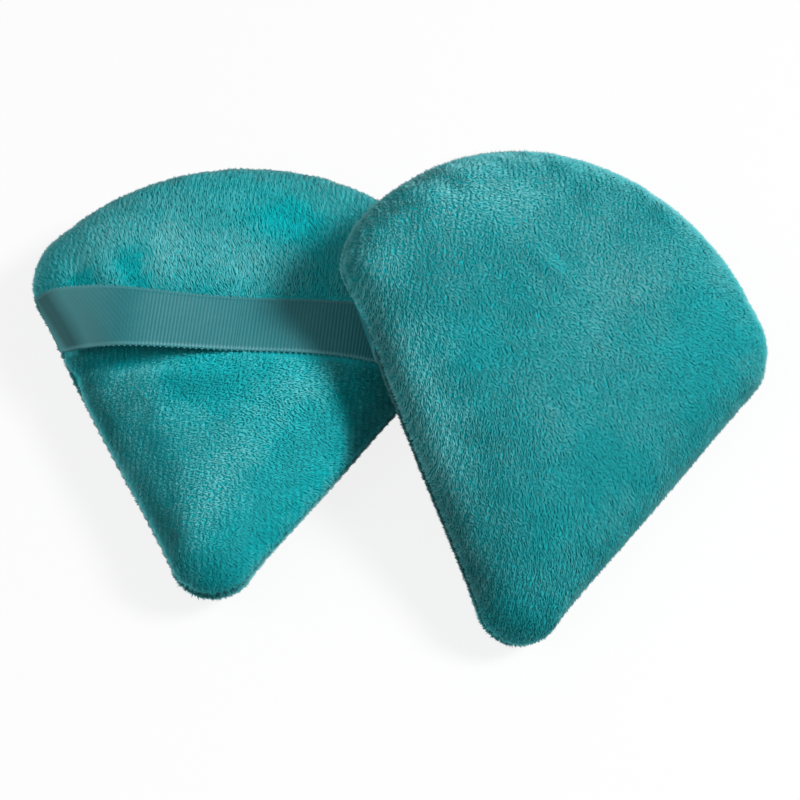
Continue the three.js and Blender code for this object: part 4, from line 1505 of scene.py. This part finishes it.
class PUFF_OT_stage(bpy.types.Operator):
    """Makes the floor, the lamps and the camera"""

    bl_idname = "puff.stage"
    bl_label = "Stage"

    def execute(self, context):
        stage = context.scene.puff_stage
        scene = context.scene
        scene.view_settings.view_transform = "Standard"

        corners = [(x * FLOOR_REACH, y * FLOOR_REACH, 0) for x, y in ((-1, -1), (1, -1), (1, 1), (-1, 1))]
        floor = mesh_object("studio_floor", corners, [(0, 1, 2, 3)])
        material, tree, shader = new_material("pale_floor")
        shader.inputs["Base Color"].default_value = (*stage.floor_colour, 1)
        shader.inputs["Roughness"].default_value = 0.9
        shader.inputs["Specular IOR Level"].default_value = 0.1
        glow = add_node(tree, "ShaderNodeEmission", {"Color": (1, 1, 1, 1), "Strength": 1.0})
        seen = add_node(tree, "ShaderNodeLightPath")
        share = sums(tree, "MULTIPLY", seen.outputs["Is Camera Ray"], FLOOR_GLOW)
        both = add_node(tree, "ShaderNodeMixShader", {0: share, 1: shader.outputs[0], 2: glow.outputs[0]})
        output = next(n for n in tree.nodes if n.type == "OUTPUT_MATERIAL")
        tree.links.new(both.outputs[0], output.inputs["Surface"])
        floor.data.materials.append(material)

        world = bpy.data.worlds.new("studio_sky")
        scene.world = world
        world.use_nodes = True
        tree = world.node_tree
        tree.nodes.clear()
        path = add_node(tree, "ShaderNodeLightPath")
        lit = add_node(tree, "ShaderNodeBackground", {"Color": (1, 1, 1, 1), "Strength": stage.sky_strength})
        white = add_node(tree, "ShaderNodeBackground", {"Color": (1, 1, 1, 1), "Strength": 1.0})
        camera_ray = path.outputs["Is Camera Ray"]
        mixed = add_node(tree, "ShaderNodeMixShader", {0: camera_ray, 1: lit.outputs[0], 2: white.outputs[0]})
        add_node(tree, "ShaderNodeOutputWorld", {0: mixed.outputs[0]})

        def lamp(name, place, size, power):
            light = bpy.data.lights.new(name, "AREA")
            light.shape, light.size, light.energy = "SQUARE", size, power
            made = bpy.data.objects.new(name, light)
            scene.collection.objects.link(made)
            made.location = place
            made.rotation_mode = "QUATERNION"
            made.rotation_quaternion = (-Vector(place)).to_track_quat("-Z", "Y")

        lamp("key_lamp", (0.58, -0.03, 0.7), 0.24, stage.key_power)
        lamp("fill_lamp", (-0.45, -0.3, 0.75), 0.6, stage.fill_power)

        # the photograph's viewing angle, distance and lens
        azimuth, elevation, distance, lens = math.radians(5.241), math.radians(58.214), 0.35955, 100.562
        back = Vector(
            (math.sin(azimuth) * math.cos(elevation), -math.cos(azimuth) * math.cos(elevation), math.sin(elevation))
        )
        right = Vector((math.cos(azimuth), math.sin(azimuth), 0))
        up = back.cross(right)
        camera = bpy.data.objects.new("camera", bpy.data.cameras.new("camera"))
        scene.collection.objects.link(camera)
        camera.data.sensor_width, camera.data.lens = 36.0, lens
        camera.data.clip_start = 0.01
        # the pair lies a little off the middle of the photograph
        camera.location = AIM + right * 0.00209 - up * 0.00308 + back * distance
        camera.rotation_mode = "QUATERNION"
        camera.rotation_quaternion = (-back).to_track_quat("-Z", "Y")
        scene.camera = camera
        return {"FINISHED"}


class PUFF_PT_panel(bpy.types.Panel):
    """Lists what makes the puffs, and their sizes and colours."""

    bl_idname = "PUFF_PT_panel"
    bl_label = "Powder puffs"
    bl_space_type = "VIEW_3D"
    bl_region_type = "UI"
    bl_category = "Puffs"

    def draw(self, context):
        for operator in MAKERS:
            self.layout.operator(operator.bl_idname)
        for group in (context.scene.puff_velour, context.scene.puff_strap, context.scene.puff_stage):
            box = self.layout.box()
            for name in group.__annotations__:
                box.prop(group, name)


MAKERS = (
    PUFF_OT_velour_covers,
    PUFF_OT_sponge_fillings,
    PUFF_OT_overlocked_seams,
    PUFF_OT_finger_straps,
    PUFF_OT_stage,
)
CLASSES = (PuffVelourSettings, PuffStrapSettings, PuffStageSettings, *MAKERS, PUFF_PT_panel)


def register():
    for cls in CLASSES:
        bpy.utils.register_class(cls)
    bpy.types.Scene.puff_velour = bpy.props.PointerProperty(type=PuffVelourSettings)
    bpy.types.Scene.puff_strap = bpy.props.PointerProperty(type=PuffStrapSettings)
    bpy.types.Scene.puff_stage = bpy.props.PointerProperty(type=PuffStageSettings)


def unregister():
    del bpy.types.Scene.puff_stage, bpy.types.Scene.puff_strap, bpy.types.Scene.puff_velour
    for cls in reversed(CLASSES):
        bpy.utils.unregister_class(cls)


def main():
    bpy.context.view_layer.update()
    register()
    build_shared_effects()
    bpy.ops.puff.velour_covers()
    bpy.ops.puff.sponge_fillings()
    bpy.ops.puff.overlocked_seams()
    bpy.ops.puff.finger_straps()
    bpy.ops.puff.stage()


if __name__ == "__main__":
    main()
